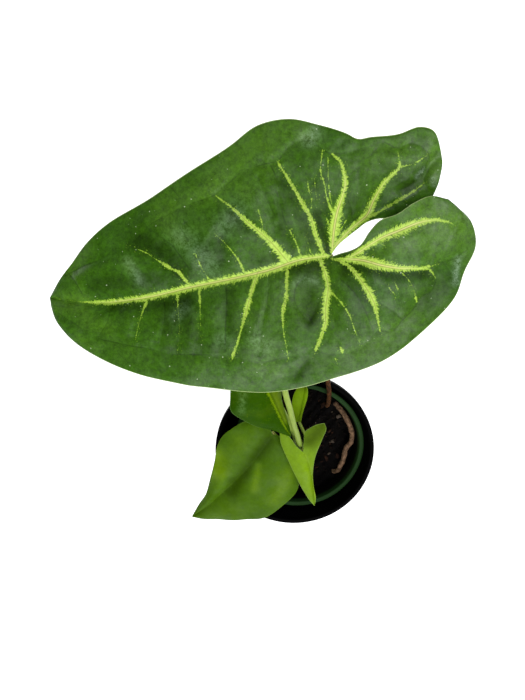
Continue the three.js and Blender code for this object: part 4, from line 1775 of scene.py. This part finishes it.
    back = Half(
        shoulder=0.64, crown=4,
        sinus=((3, 4.5, -0.5), (7, 8, -1.5), (11, 11, -2.5), (14.5, 13.5, -3.5), (19.5, 15, -4.5),
               (26.5, 15, -5), (34, 17.5, -5), (39.5, 22.5, -4), (41.5, 28, -3)),
        margin=((-112.5, -10, -12.5), (-107, -3.5, -11.5), (-99, 5.5, -9.5), (-88.5, 13.5, -7.5),
                (-71, 23, -5), (-51, 35, -2.5), (-39, 42, -1.5), (-28.5, 49, -1), (-16.5, 51.5, -1),
                (-5, 49, -0.5), (4.5, 46, 0.5), (9, 44, 1), (14.5, 45, -0.5), (24.5, 46, -1),
                (32.5, 48.5, -1), (38, 47, -1), (41, 41.5, -1.5), (42.5, 36, -2)),
        veins=(
            Vein(MAIN, ((0.9, 2, 1.1), (1.0, 6, 1.7), (1.3, 11.5, 2.3), (2.1, 17, 2.1), (3.8, 23, 1.3),
                (4.8, 27, 1.4), (4.3, 31, 1.0), (2.8, 35.5, 0.8), (-0.5, 38.5, 0.4))),
            Vein(MAIN, ((2, 4.5, 1.5), (6.5, 9.5, 1.5), (10.3, 12.9, 1.5), (14.5, 16.4, 2.0),
                (16.9, 22.4, 1.7), (20.2, 28.2, 1.2), (22.5, 30.9, 1.0), (25.6, 33.6, 0.8),
                (25.7, 35.8, 0.4))),
            Vein(LATERAL, ((-2.6, 1.5, 0.9), (-5.7, 8, 1.2), (-8.2, 15, 1.1), (-12.4, 22, 0.8),
                (-16.8, 29, 0.6), (-21, 35.5, 0.4))),
            Vein(LATERAL, ((-17.3, -1, 2.3), (-22.8, 5.3, 1.7), (-28.3, 10.1, 1.4), (-32.9, 13.9, 1.1),
                (-37.3, 18, 0.65), (-44.5, 23.3, 0.25))),
            Vein(LATERAL, ((-33.9, -6, 0.6), (-35.9, -1.5, 0.5), (-39.9, 4, 0.3), (-45.5, 9.5, -0.05))),
            Vein(LATERAL, ((-55.3, -12.2, 1.2), (-56.6, -10.3, 0.85), (-58.3, -8.3, 0.65),
                (-60.3, -5.6, 0.75), (-62.3, -4.8, 0.6), (-65.7, -2.8, 0.75), (-67.3, -1.7, 0.35),
                (-69.8, -0.2, 0.0), (-71.7, 1.2, 0.15), (-74.5, 2.5, 0.3), (-77, 3.4, -0.1),
                (-81, 4.9, -0.05))),
            Vein(LATERAL, ((13.5, 15, 0.8), (18, 16.9, 0.75), (25.1, 21.1, 0.7), (31.7, 25, 0.55),
                (36, 28.4, 0.25))),
            Vein(FINE, ((-11.5, 0, 0.5), (-13.5, 5.5, 0.5), (-16.5, 11, 0.3))),
            Vein(FINE, ((-48, -9, 0.35), (-51, -3.5, 0.35), (-53, 2, 0.3))),
            Vein(FINE, ((0.5, 17, 0.9), (-2, 22, 0.55), (-3.3, 27.5, 0.45), (-4.7, 31.3, 0.5),
                (-4.8, 35, 0.3), (-4.3, 38.8, 0.55), (-4.1, 40, 0.3))),
            Vein(FINE, ((3, 9, 0.6), (5.5, 13.5, 0.4), (6.5, 15, 0.1))),
            Vein(FINE, ((0.5, 18, 0.3), (-1, 23.2, 0.35), (-1.8, 29, 0.3), (-2.1, 37.1, 0.3))),
            Vein(FINE, ((25.5, 34.5, 0.5), (25, 38, 0.35), (24.5, 39.5, 0.25))),
            Vein(FINE, ((26, 34, 0.5), (31.5, 35.5, 0.35), (36, 38.5, 0.25))),
            Vein(FINE, ((0, 10.5, 0.4), (-2, 15, 0.35))),
            Vein(FINE, ((-26.5, 9, 0.5), (-27, 13.5, 0.3), (-28.5, 18.5, 0.25))),
            Vein(FINE, ((-7.5, 0.5, 0.3), (-8.5, 4.5, 0.25), (-9.5, 7.5, 0.15))),
            Vein(FINE, ((-8, 17.5, 0.15), (-8, 21.5, 0.3), (-9.5, 27, 0.3), (-9.5, 31, 0.1))),
            Vein(FINE, ((-5, 18, 0.1), (-6.5, 24.5, 0.2), (-7.5, 32, 0.15))),
            crease((-109.5, -8), (-99.5, -3.5), (-92.5, -1), (-87, 2.5), (-80, 5.5), (-75, 8.5), (-71, 12.5),
                (-63.5, 16.5), (-55.5, 20), (-45.5, 23.5), (-35, 31.5), (-27, 34.5), (-21, 36), (-16.5, 41),
                (-9.5, 43.5), (-4, 40), (0, 38.5), (12.5, 41), (19, 43), (24.5, 41), (30, 43), (35.5, 40),
                (37.5, 36), (35.5, 28.5)),
            crease((-69.5, -13.5), (-73, -9.5), (-76, -4.5), (-79, 0), (-81, 4.5)),
            crease((-53, -10), (-56, -4), (-59, 0.5), (-61.5, 4), (-66, 7.5), (-71, 11)),
            crease((-56, 7), (-59, 12), (-61, 15.5), (-64, 18.5), (-67, 22)),
            crease((-58.5, 22.5), (-62, 26.5)),
            crease((-80, 6.5), (-83, 10), (-87, 13)),
            crease((-71, 10.5), (-74.5, 13.5), (-78, 17)),
            crease((-102, -15), (-104.5, -10), (-108.5, -6.5)),
            crease((-13.5, 7), (-18, 13.5), (-19.5, 18.5), (-21.5, 25)),
            crease((-22, 16), (-25.5, 23), (-28.5, 30.5)),
            crease((-15.5, 21.5), (-20, 27.5), (-23.5, 34)),
            crease((5, 29), (7, 31.5), (11, 35), (15, 39), (19, 43.5)),
            crease((7.5, 13.5), (8, 17.5), (6.5, 21)),
            crease((13, 25.5), (11, 30), (12, 33.5)),
        ),
        swells=(
            Swell(2.2, -1.3, ((28, 25.5), (33, 29), (37, 34), (40, 38))),
            Swell(2.5, -0.5, ((19, 21.5), (22, 24.5), (27, 27))), Swell(4.5, 0.9, ((-50, 5), (-48, 9))),
            Swell(3.5, -1.2, ((-43.5, 5), (-43, -1))), Swell(4.5, 1.3, ((-73, 14), (-64, 6), (-56.5, -3))),
            Swell(3.0, -1.2, ((-58, -4), (-62, 2), (-66, 5))), Swell(3.0, 0.9, ((-96, -5), (-103, -9))),
            Swell(3.0, 0.8, ((-83, -2), (-78, -7))), Swell(4.0, -0.6, ((-104, -4), (-97, -1), (-90, 3))),
            Swell(3.0, -0.9, ((-16, 16), (-10, 6))), Swell(2.5, -0.8, ((-22, 12), (-27, 20))),
        ),
        # Painted light and shade on the flesh.
        painted_shading_patches=(
            Swell(4.5, -0.55, ((-76, 6), (-69, 4), (-63, -1), (-60, -6))),
            Swell(3.5, -0.42, ((-96, -11.5), (-80, -9.5), (-69, -9))),
            Swell(3.0, -0.4, ((-43, 6), (-43, -1))), Swell(3.0, -0.4, ((-38, 16), (-33, 11))),
            Swell(2.5, -0.35, ((-28, -2), (-22, 0))),
            Swell(2.5, -0.4, ((-19, 29), (-15, 22), (-11, 14), (-7, 5))),
            Swell(2.0, -0.6, ((-6, 16), (-3, 9), (-1, 3))),
            Swell(3.0, -0.3, ((-20, 18), (-18, 9), (-16, 4))), Swell(2.5, -0.4, ((25, 16.5), (31, 18.5))),
            Swell(2.0, -0.4, ((30, 26), (35, 33))), Swell(3.0, -0.35, ((9, 20), (7, 13))),
            Swell(3.0, -0.3, ((-6, 27), (-2, 18))), Swell(5.0, 0.5, ((-112, -19), (-103, -19))),
            Swell(4.0, 0.35, ((-106, -5), (-100, 3))), Swell(7.0, 0.4, ((-43, 32), (-32, 41), (-18, 48))),
            Swell(4.0, 0.6, ((-9, 46),)), Swell(3.0, 0.35, ((-80, -2), (-79, -8))),
            Swell(5.0, 0.3, ((16, 39), (27, 41))), Swell(3.0, 0.4, ((38, 44), (40, 31))),
            Swell(4.0, 0.25, ((-65, 14), (-58, 7))), Swell(4.0, -0.28, ((-51, -1), (-49, 4))),
            Swell(3.0, -0.2, ((-28, 38),)), Swell(2.5, -0.3, ((21, 34.8), (25.3, 30), (28.3, 27.5))),
            Swell(4.5, 0.25, ((-67, 20), (-57, 22), (-45, 25))), Swell(3.5, 0.25, ((-33, 25),)),
        ),
        bloom=(
            Swell(0.9, 0.6, ((33, 30.8), (35, 33.6))), Swell(1.0, 0.6, ((39, 29.7), (39.7, 28))),
            Swell(2.6, 0.4, ((-9.2, 43.6), (-7.3, 46.6))), Swell(4.0, 0.15, ((-41, 12), (-36, 18))),
            Swell(4.5, 0.17, ((-58, 8), (-50, 1), (-47, -4))), Swell(2.0, 0.2, ((-80.5, -1.5), (-76, -10))),
        ),
    )
    # Along its x, the finish paints shade towards the tip and light towards the lobes.
    return Blade(
        name="big_leaf", slot="big_leaf_blade", finish=BladeFinish("dark_leaf_skin", light_sweep=(-110.0, 40.0)),
        junction=(6.4, 124.2, 185), face=(0, 0, 1), rib_radius=1.3,
        midrib=((-117.5, -17.5, -13), (-99, -19, -8.5), (-77, -17, -4.5), (-56, -12, -1.5), (-31.5, -6, 0.5),
                (-12, -1, 1)),
        midrib_paint=((-1, 0.6, 1.2), (-12, -1.0, 1.7), (-24, -4.9, 1.9), (-36, -7.8, 1.8),
                      (-47.5, -10.2, 1.7), (-56, -12, 1.7), (-64, -14, 1.6), (-72.5, -16, 1.6),
                      (-81.5, -17.5, 1.5), (-90, -18.6, 1.3), (-99, -18.9, 0.7), (-107, -18.6, -0.2),
                      (-117.5, -17.5, -0.5)),
        halves=(front, back), rows=(190, 100), columns=64, ribs=6, wave=0.7,
    )


def middle_leaf() -> Blade:
    """The dark green leaf whose tip shows below the large one, its flesh darkened further as painted shade
    under it.

    Returns:
        The blade, ready to build.
    """
    left = Half(
        shoulder=0.82, crown=2.5, sinus=((-4, 3, -1), (-7, 7, -3), (-12, 8.5, -6)),
        margin=((13.5, -51, -28), (3.5, -46.5, -23.5), (-5.5, -40.5, -19), (-10.5, -34.5, -15.5),
                (-10.5, -25.5, -12), (-10, -15, -8), (-13, -3.5, -6), (-15.5, 4.5, -6)),
        bloom=(Swell(1.8, 0.5, ((-3.8, -22), (-5, -35))),),
    )
    right = Half(
        shoulder=0.82, crown=2, sinus=((4, 2.5, -1), (8.5, 5, -3), (13.5, 3.5, -7)),
        margin=((21, -48.5, -26), (18.5, -38.5, -21), (16, -28, -16), (16, -17, -12), (16.5, -7, -9),
                (16, -0.5, -7.5)),
        # A strip of painted light beside the midrib.
        painted_shading_patches=(Swell(3.0, 0.7, ((11, -17), (14, -29), (18, -42))),),
    )
    # Dark flesh colours, darkened further as painted shade under the large leaf.
    finish = BladeFinish("plain_leaf_skin", flesh="2B4D00", hollow="224200", young="6E8610",
                         vein_pale="6E8A04", vein_deep="5E7C04", vein_line="6A8408", cord="6E8A04",
                         margin="5E8040", residue="6E9450", speck_size=0.0, mottle=0.12, roughness=0.5,
                         shine=0.02)
    return Blade(
        name="middle_leaf", slot="middle_leaf_blade", finish=finish, junction=(-26.3, 78.2, 150),
        face=(0.2, -0.45, 1), rib_radius=0.9,
        midrib=((22, -55, -30), (18, -45.5, -24), (12, -30.5, -15), (6.5, -17, -7.5), (3, -7, -2)),
        midrib_paint=((0.5, -1, 0.7), (6.2, -17, 0.9), (11.5, -30.5, 0.9), (17.4, -45.5, 0.7),
                      (21.5, -53.5, 0.2)),
        halves=(left, right), rows=(60, 16), columns=22, wave=0.5, side_veins=5,
    )


def lower_leaf() -> Blade:
    """The broad low leaf that reaches out over the pot's rim.

    Returns:
        The blade, ready to build.
    """
    # Painted shade along the midrib's valley; the other patches paint light and shade on the flesh.
    valley = Swell(4.5, -0.5, ((-2, -3), (-9, -13), (-17, -27), (-25, -40)))
    left = Half(
        shoulder=0.78, crown=2.5, sinus=((-1.5, 3, -0.5), (-5, 6.5, -1), (-10.5, 9, -2)),
        margin=((-46.5, -52.5, -14.5), (-41.5, -44, -12.5), (-38, -31.5, -9.5), (-35, -19.5, -7),
                (-33, -9, -4.5), (-30, -2.5, -3), (-24.5, 3, -2), (-17.5, 7.5, -1.5)),
        painted_shading_patches=(valley, Swell(6.0, 0.8, ((-34, -15), (-33, -26))), Swell(3.0, -0.3, ((-26, -31),)),
               Swell(4.0, 0.2, ((-20, -3),))),
    )
    right = Half(
        shoulder=0.8, crown=2.5, sinus=((2.5, -0.8, -1), (6, -2.5, -3), (9.2, -6.6, -5.5)),
        margin=((-44, -62, -15), (-31.5, -61.5, -13), (-19, -60, -10.5), (-7.5, -58, -8.5), (2, -52.5, -7.5),
                (9.5, -45.5, -7.5), (15.5, -37, -7.5), (15.5, -27.5, -7.5), (13.7, -18.5, -7),
                (11.2, -11.5, -6.5)),
        painted_shading_patches=(valley, Swell(2.5, 0.45, ((-9, -20), (-11, -36))), Swell(5.0, 0.35, ((10, -27), (2, -44)))),
    )
    finish = BladeFinish("bright_leaf_skin", flesh="4A6C0A", hollow="3A5A06", young="6F9000",
                         vein_pale="5C7A1E", vein_deep="4A6A12", vein_line="46641A", margin="5A7A10",
                         residue="5A7A20", speck_size=0.0, mottle=0.12, roughness=0.5, shine=0.1)
    return Blade(
        name="lower_leaf", slot="young_leaf_blade", finish=finish, junction=(-14.2, 19.6, 108),
        face=(-0.15, -0.2, 1), rib_radius=0.9,
        midrib=((-51, -61, -16), (-41.5, -53, -13), (-31, -42, -9.5), (-19.5, -29, -6), (-12.5, -19.5, -3.5),
                (-6, -10, -1.5)),
        midrib_paint=((-0.5, -1, -0.8), (-12.5, -19.5, -0.8), (-31, -42, -0.8), (-48, -58, -0.8)),
        halves=(left, right), rows=(70, 16), columns=26, wave=0.6, side_veins=6,
    )


def arrow_leaf() -> Blade:
    """The young arrow-shaped leaf over the pot, with a strip of painted light beside its midrib.

    Returns:
        The blade, ready to build.
    """
    # A strip of painted light beside the midrib, and painted shade on the right lobe.
    painted_light_strip = Swell(3.5, 0.9, ((0, -2), (3, -12), (5.5, -22), (7, -28)))
    left = Half(
        shoulder=0.62, crown=1.2, sinus=((-3.7, 3.8, 0.5), (-6.8, 8.2, 0.5), (-9.5, 11, 0.5), (-13.5, 12, 0)),
        margin=((5.5, -37, -12.5), (-0.5, -25, -8), (-6.5, -11, -4), (-10, -2.5, -2), (-13, 6, -0.5)),
        painted_shading_patches=(painted_light_strip,),
    )
    right = Half(
        shoulder=0.6, crown=1.2,
        sinus=((0.3, 6, -0.5), (1, 12, -1), (4, 14.5, -1), (8, 16.5, -1), (12, 17, -1.5)),
        margin=((9.3, -34.5, -11.5), (7.5, -26, -8), (6.6, -16.5, -5.5), (7.2, -6.5, -4), (9.2, 1, -3),
                (11.2, 7.5, -2), (13.2, 13.5, -1.5)),
        veins=(Vein(LATERAL, ((1.5, -2, 0.3), (4, -12.5, 0.5), (6.5, -22, 0.5), (8.2, -31.5, 0.5),
                              (8.9, -39, 0.3))),),
        painted_shading_patches=(painted_light_strip, Swell(6.5, -0.6, ((4, 7), (11, 14)))),
    )
    finish = BladeFinish("young_leaf_skin", flesh="72931A", hollow="648416", young="729400",
                         vein_pale="86A418", vein_deep="7A9A10", vein_line="6E8C14", margin="84A048",
                         residue="8CA258", speck_size=0.0, mottle=0.12, roughness=0.46, shine=0.08)
    return Blade(
        name="arrow_leaf", slot="young_leaf_blade", finish=finish, junction=(3, 11.2, 113),
        face=(0, -0.2, 1), rib_radius=0.8,
        midrib=((9, -42, -15), (7.5, -31.5, -10.5), (6, -20.5, -6), (3.5, -10, -2.5)),
        midrib_paint=((0.5, -1, -0.6), (3.5, -10, -0.7), (6, -20.5, -0.7), (9, -41, -0.8)),
        halves=(left, right), rows=(48, 28), columns=18, wave=0.3, ribs=4, side_veins=4,
        depth=0.4, pucker=0.12,
    )


def small_leaf() -> Blade:
    """The newest leaf, still narrow and bright.

    Returns:
        The blade, ready to build.
    """
    shade = Swell(4.0, -0.7, ((4, 25),))
    left = Half(shoulder=0.85, crown=0.8, sinus=((-1, -0.6, -0.4), (-2.2, -0.4, -0.4)),
                margin=((-0.5, 24, 8.5), (-3.5, 18, 7), (-4, 9.5, 4), (-3.4, 3, 1)), painted_shading_patches=(shade,))
    right = Half(shoulder=0.85, crown=0.8, sinus=((1, -0.6, -0.4), (2, -0.4, -0.4)),
                 margin=((4.7, 22.5, 8.5), (4.7, 16.5, 6.5), (3.4, 10, 4), (2.2, 3, 1)), painted_shading_patches=(shade,))
    finish = BladeFinish("newest_leaf_skin", flesh="6F8F08", hollow="64840A", young="7A9A10",
                         vein_pale="7E9C14", vein_deep="728E0C", vein_line="6E8A10", margin="6E8C20",
                         residue="7A9430", speck_size=0.0, mottle=0.12, roughness=0.46, shine=0.04)
    return Blade(
        name="small_leaf", slot="young_leaf_blade", finish=finish, junction=(1, 24, 97),
        face=(0, -0.35, 1), rib_radius=0.6, midrib=((3, 25.5, 9), (2.5, 20, 7.5), (1.5, 11.5, 4.5)),
        midrib_paint=((0.2, 0.5, -0.7), (1.5, 11.5, -0.7), (3, 25, -0.8)),
        halves=(left, right), rows=(30, 4), columns=12, wave=0.2, ribs=0, depth=0.25, pucker=0.08, net=0.05,
    )


@dataclass(frozen=True)
class StalkPlan:
    """A leaf stalk, in mm, that stands at angle, in degrees, on a ring round the stem's top.

    stem is x and y of the stem's axis, and the height where the solid's stalk starts.
    """

    # The groove on the side that clasps the stem: depth as a share of the radius, half-width in radians, and
    # how soon it runs out.
    GROOVE = (0.28, 0.55, 1.6)
    # How much the foot and the top swell, and over what share of the length.
    FOOT_SWELL = (0.18, 0.06)
    TOP_SWELL = (0.16, 0.03)
    # How far the foot reaches below that, to meet the stem, and how long the straight ends are.
    SUNK = 0.3
    STRAIGHT = 2.5

    leaf: Blade
    angle: float
    foot_radius: float
    top_radius: float
    path: tuple[Spot, ...]
    steps: int = 50
    ring: float = 4.0
    stem: Spot = (6.0, -7.0, 76.0)

    def way(self) -> list[Spot]:
        """Lays out the stalk's whole path, from the stem's top into the rib below the blade.

        Returns:
            The path's points.
        """
        turn = math.radians(self.angle)
        foot_x = self.stem[0] + self.ring * math.cos(turn)
        foot_y = self.stem[1] + self.ring * math.sin(turn)
        x, y, z = self.leaf.junction
        top = z - self.leaf.rib_radius
        foot = self.stem[2]
        return [(foot_x, foot_y, foot - self.SUNK), (foot_x, foot_y, foot + self.STRAIGHT), *self.path,
                (x, y, top - self.STRAIGHT), (x, y, top)]

    def radius(self, share: np.ndarray, angle: np.ndarray) -> np.ndarray:
        """Works out the radius: wider and grooved where the stalk clasps the stem, flared at the blade.

        Args:
            share: The share of the length.
            angle: The angle round the stalk, in radians.

        Returns:
            The radius.
        """
        plain = self.foot_radius + (self.top_radius - self.foot_radius) * share
        depth, width, fading = self.GROOVE
        groove = depth * np.exp(-((angle - math.pi) / width) ** 2) * np.clip(1 - fading * share, 0, 1)
        swell = 0.0
        for (height, reach), gap in ((self.FOOT_SWELL, share), (self.TOP_SWELL, 1 - share)):
            swell = swell + height * np.exp(-(gap / reach) ** 2)
        return plain * (1 + swell - groove)

    def rod(self) -> Rod:
        """Makes a rod of the plan.

        Returns:
            The rod, ready to build.
        """
        name = self.leaf.name
        return Rod(name + "_petiole", "stalk_skin", StalkFinish("stalk_skin"), self.way(), self.radius,
                   name + "_stalk", self.steps)


def stalk_plans(leaves: dict[str, Blade]) -> list[StalkPlan]:
    """Gives the plan of each leaf's stalk.

    Args:
        leaves: The blades by name.

    Returns:
        The plans, largest leaf first.
    """
    return [
        StalkPlan(leaves["big_leaf"], 90, 1.7, 1.45, (
            (5.6, -0.5, 84), (3.5, 6.5, 98), (1, 16.5, 112), (-1, 24.5, 119), (-3, 31.5, 125),
            (-6, 44.5, 135), (-9, 56.5, 144), (-11.5, 73, 155), (-11, 91.5, 165), (-4.5, 108.5, 173.5),
            (3, 119.8, 177)), steps=90),
        StalkPlan(leaves["lower_leaf"], 210, 1.5, 1.1, ((-3.2, -2.5, 87), (-9, 10, 98))),
        StalkPlan(leaves["middle_leaf"], 150, 1.5, 1.1, (
            (1, -0.5, 85), (0.2, 8, 94), (-2, 20, 107), (-9, 39, 121), (-18, 57, 133), (-25, 71, 143))),
        StalkPlan(leaves["arrow_leaf"], -30, 1.4, 1.1, ((9, -2.5, 90), (6.8, 4, 102), (4.8, 8.2, 107.5))),
        StalkPlan(leaves["small_leaf"], 30, 1.3, 0.9, ((8.5, 5, 82), (4, 17, 90))),
    ]


# How much a rod's swells vary round it: at 0 they run all round.
SWELL_ROUND = 0.8


def knobbly(radius: float, amount: float, pitch: float) -> Section:
    """Gives the section of an uneven rod.

    Args:
        radius: Its middle radius, in mm.
        amount: How much the radius varies, as a share.
        pitch: How many swells it has along its length.

    Returns:
        The radius as a function of share and angle.
    """
    def section(share: np.ndarray, angle: np.ndarray) -> np.ndarray:
        """The radius at a share of the length and an angle round it."""
        across, over = math.cos(angle) * SWELL_ROUND, math.sin(angle) * SWELL_ROUND
        return radius * (1 + amount * noise.noise(Vector((float(share) * pitch, across, over))))
    return section


def pots() -> tuple[Pot, Pot]:
    """Plans the two pots.

    Returns:
        The outer pot, and the liner that stands in it.
    """
    outer = Pot("outer_pot", "outer_pot_plastic",
                MouldedPlastic("black_polypropylene", "030303", "080807", roughness=0.55, shine=0.02),
                rim_radius=50, base_radius=35, height=86, wall=1.8, floor=2.5, lip_width=2.8, lip_height=6)
    # The liner's walls below its lip are painted near-black as painted shade.
    liner = Pot("nursery_pot", "nursery_pot_plastic",
                MouldedPlastic("green_polypropylene", "203C1A", "242E18", roughness=0.5, shine=0.06,
                               painted_shade_below=75.5),
                rim_radius=42, base_radius=30, height=75, wall=1.1, floor=1.4, lip_width=3, lip_height=2.4,
                stands_at=2.8, centre=(2.9, 0.2), sag=0.25)
    return outer, liner


def thin_rods() -> tuple[Rod, Rod]:
    """Plans the two dry pieces of the plant.

    Returns:
        The aerial root along the liner's wall, and the dried stalk that leans over its rim.
    """
    root = Rod("aerial_root", "root_skin", DryFibre("corky_root", "8E6E54", "463424"), (
        (27, 25.5, 64), (30.5, 22, 68), (34.4, 16.4, 70.5), (37, 10.5, 71.5), (38.3, 5, 71.5),
        (37.6, -0.5, 70.5), (35.3, -3.8, 69.5), (34, -9.5, 69), (33, -15, 68.5), (30, -22, 66.5),
        (27, -24, 63)), knobbly(1.6, 0.3, 24), "root", steps=110, sides=16)
    dry = Rod("withered_stalk", "dry_stalk_skin", DryFibre("dry_stalk_skin", "5A3614", "2C1A0A"), (
        (22.5, 20, 58), (22.3, 27, 70.8), (21.1, 35.8, 82.2), (19.8, 43.5, 88.2), (18, 52, 93.5)),
        knobbly(1.4, 0.25, 14), "dry_stalk", steps=60, sides=16)
    return root, dry


def loose_bits(soil: Soil) -> tuple[Crumbs, Crumbs, Crumbs]:
    """Plans what lies loose on the soil.

    Args:
        soil: The soil.

    Returns:
        The crumbs of peat, the bits of bark and the grains of perlite.
    """
    return (
        Crumbs("peat_crumbs", Earth("peat_crumbs", "160E09", "070403"), soil, 420, (0.8, 2.6), long=1.6),
        Crumbs("bark_bits", Earth("bark_bits", "3A2418", "180D08"), soil, 60, (1.4, 3.4), long=2.2,
               places=((22.2, -13.2, 2.4),)),
        # Perlite's colours are far darker than its own white, as painted shade under the leaves.
        Crumbs("perlite", Earth("perlite", "564A40", "342C26", grain=0.8, depth=0.4), soil, 9, (0.8, 1.6),
               long=1.2, places=((30.1, 16.0, 3.6), (27.0, -2.1, 2.8), (24.3, -9.8, 2.2))),
    )


def main() -> None:
    """Builds the studio and every piece, and logs how many faces each piece has."""
    logging.basicConfig(level=logging.INFO, format="%(message)s")
    Studio().build()
    outer, liner = pots()
    # The peat's colours are darkened as painted shade under the leaves.
    soil = Soil(Earth("peat_in_painted_shade", "090604", "020101"), liner)
    stem = Stem(DryFibre("stem_skin", "6C7834", "3F4A1E", wrinkle=0.3))
    blades = (big_leaf(), middle_leaf(), lower_leaf(), arrow_leaf(), small_leaf())
    leaves = {blade.name: blade for blade in blades}
    stalks = [plan.rod() for plan in stalk_plans(leaves)]
    makers = [outer, liner, soil, stem, *thin_rods(), *blades, *stalks, *loose_bits(soil)]
    for maker in makers:
        piece = maker.build()
        LOG.info("%s: %d faces", piece.name, len(piece.data.polygons))
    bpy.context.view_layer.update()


if __name__ == "__main__":
    main()
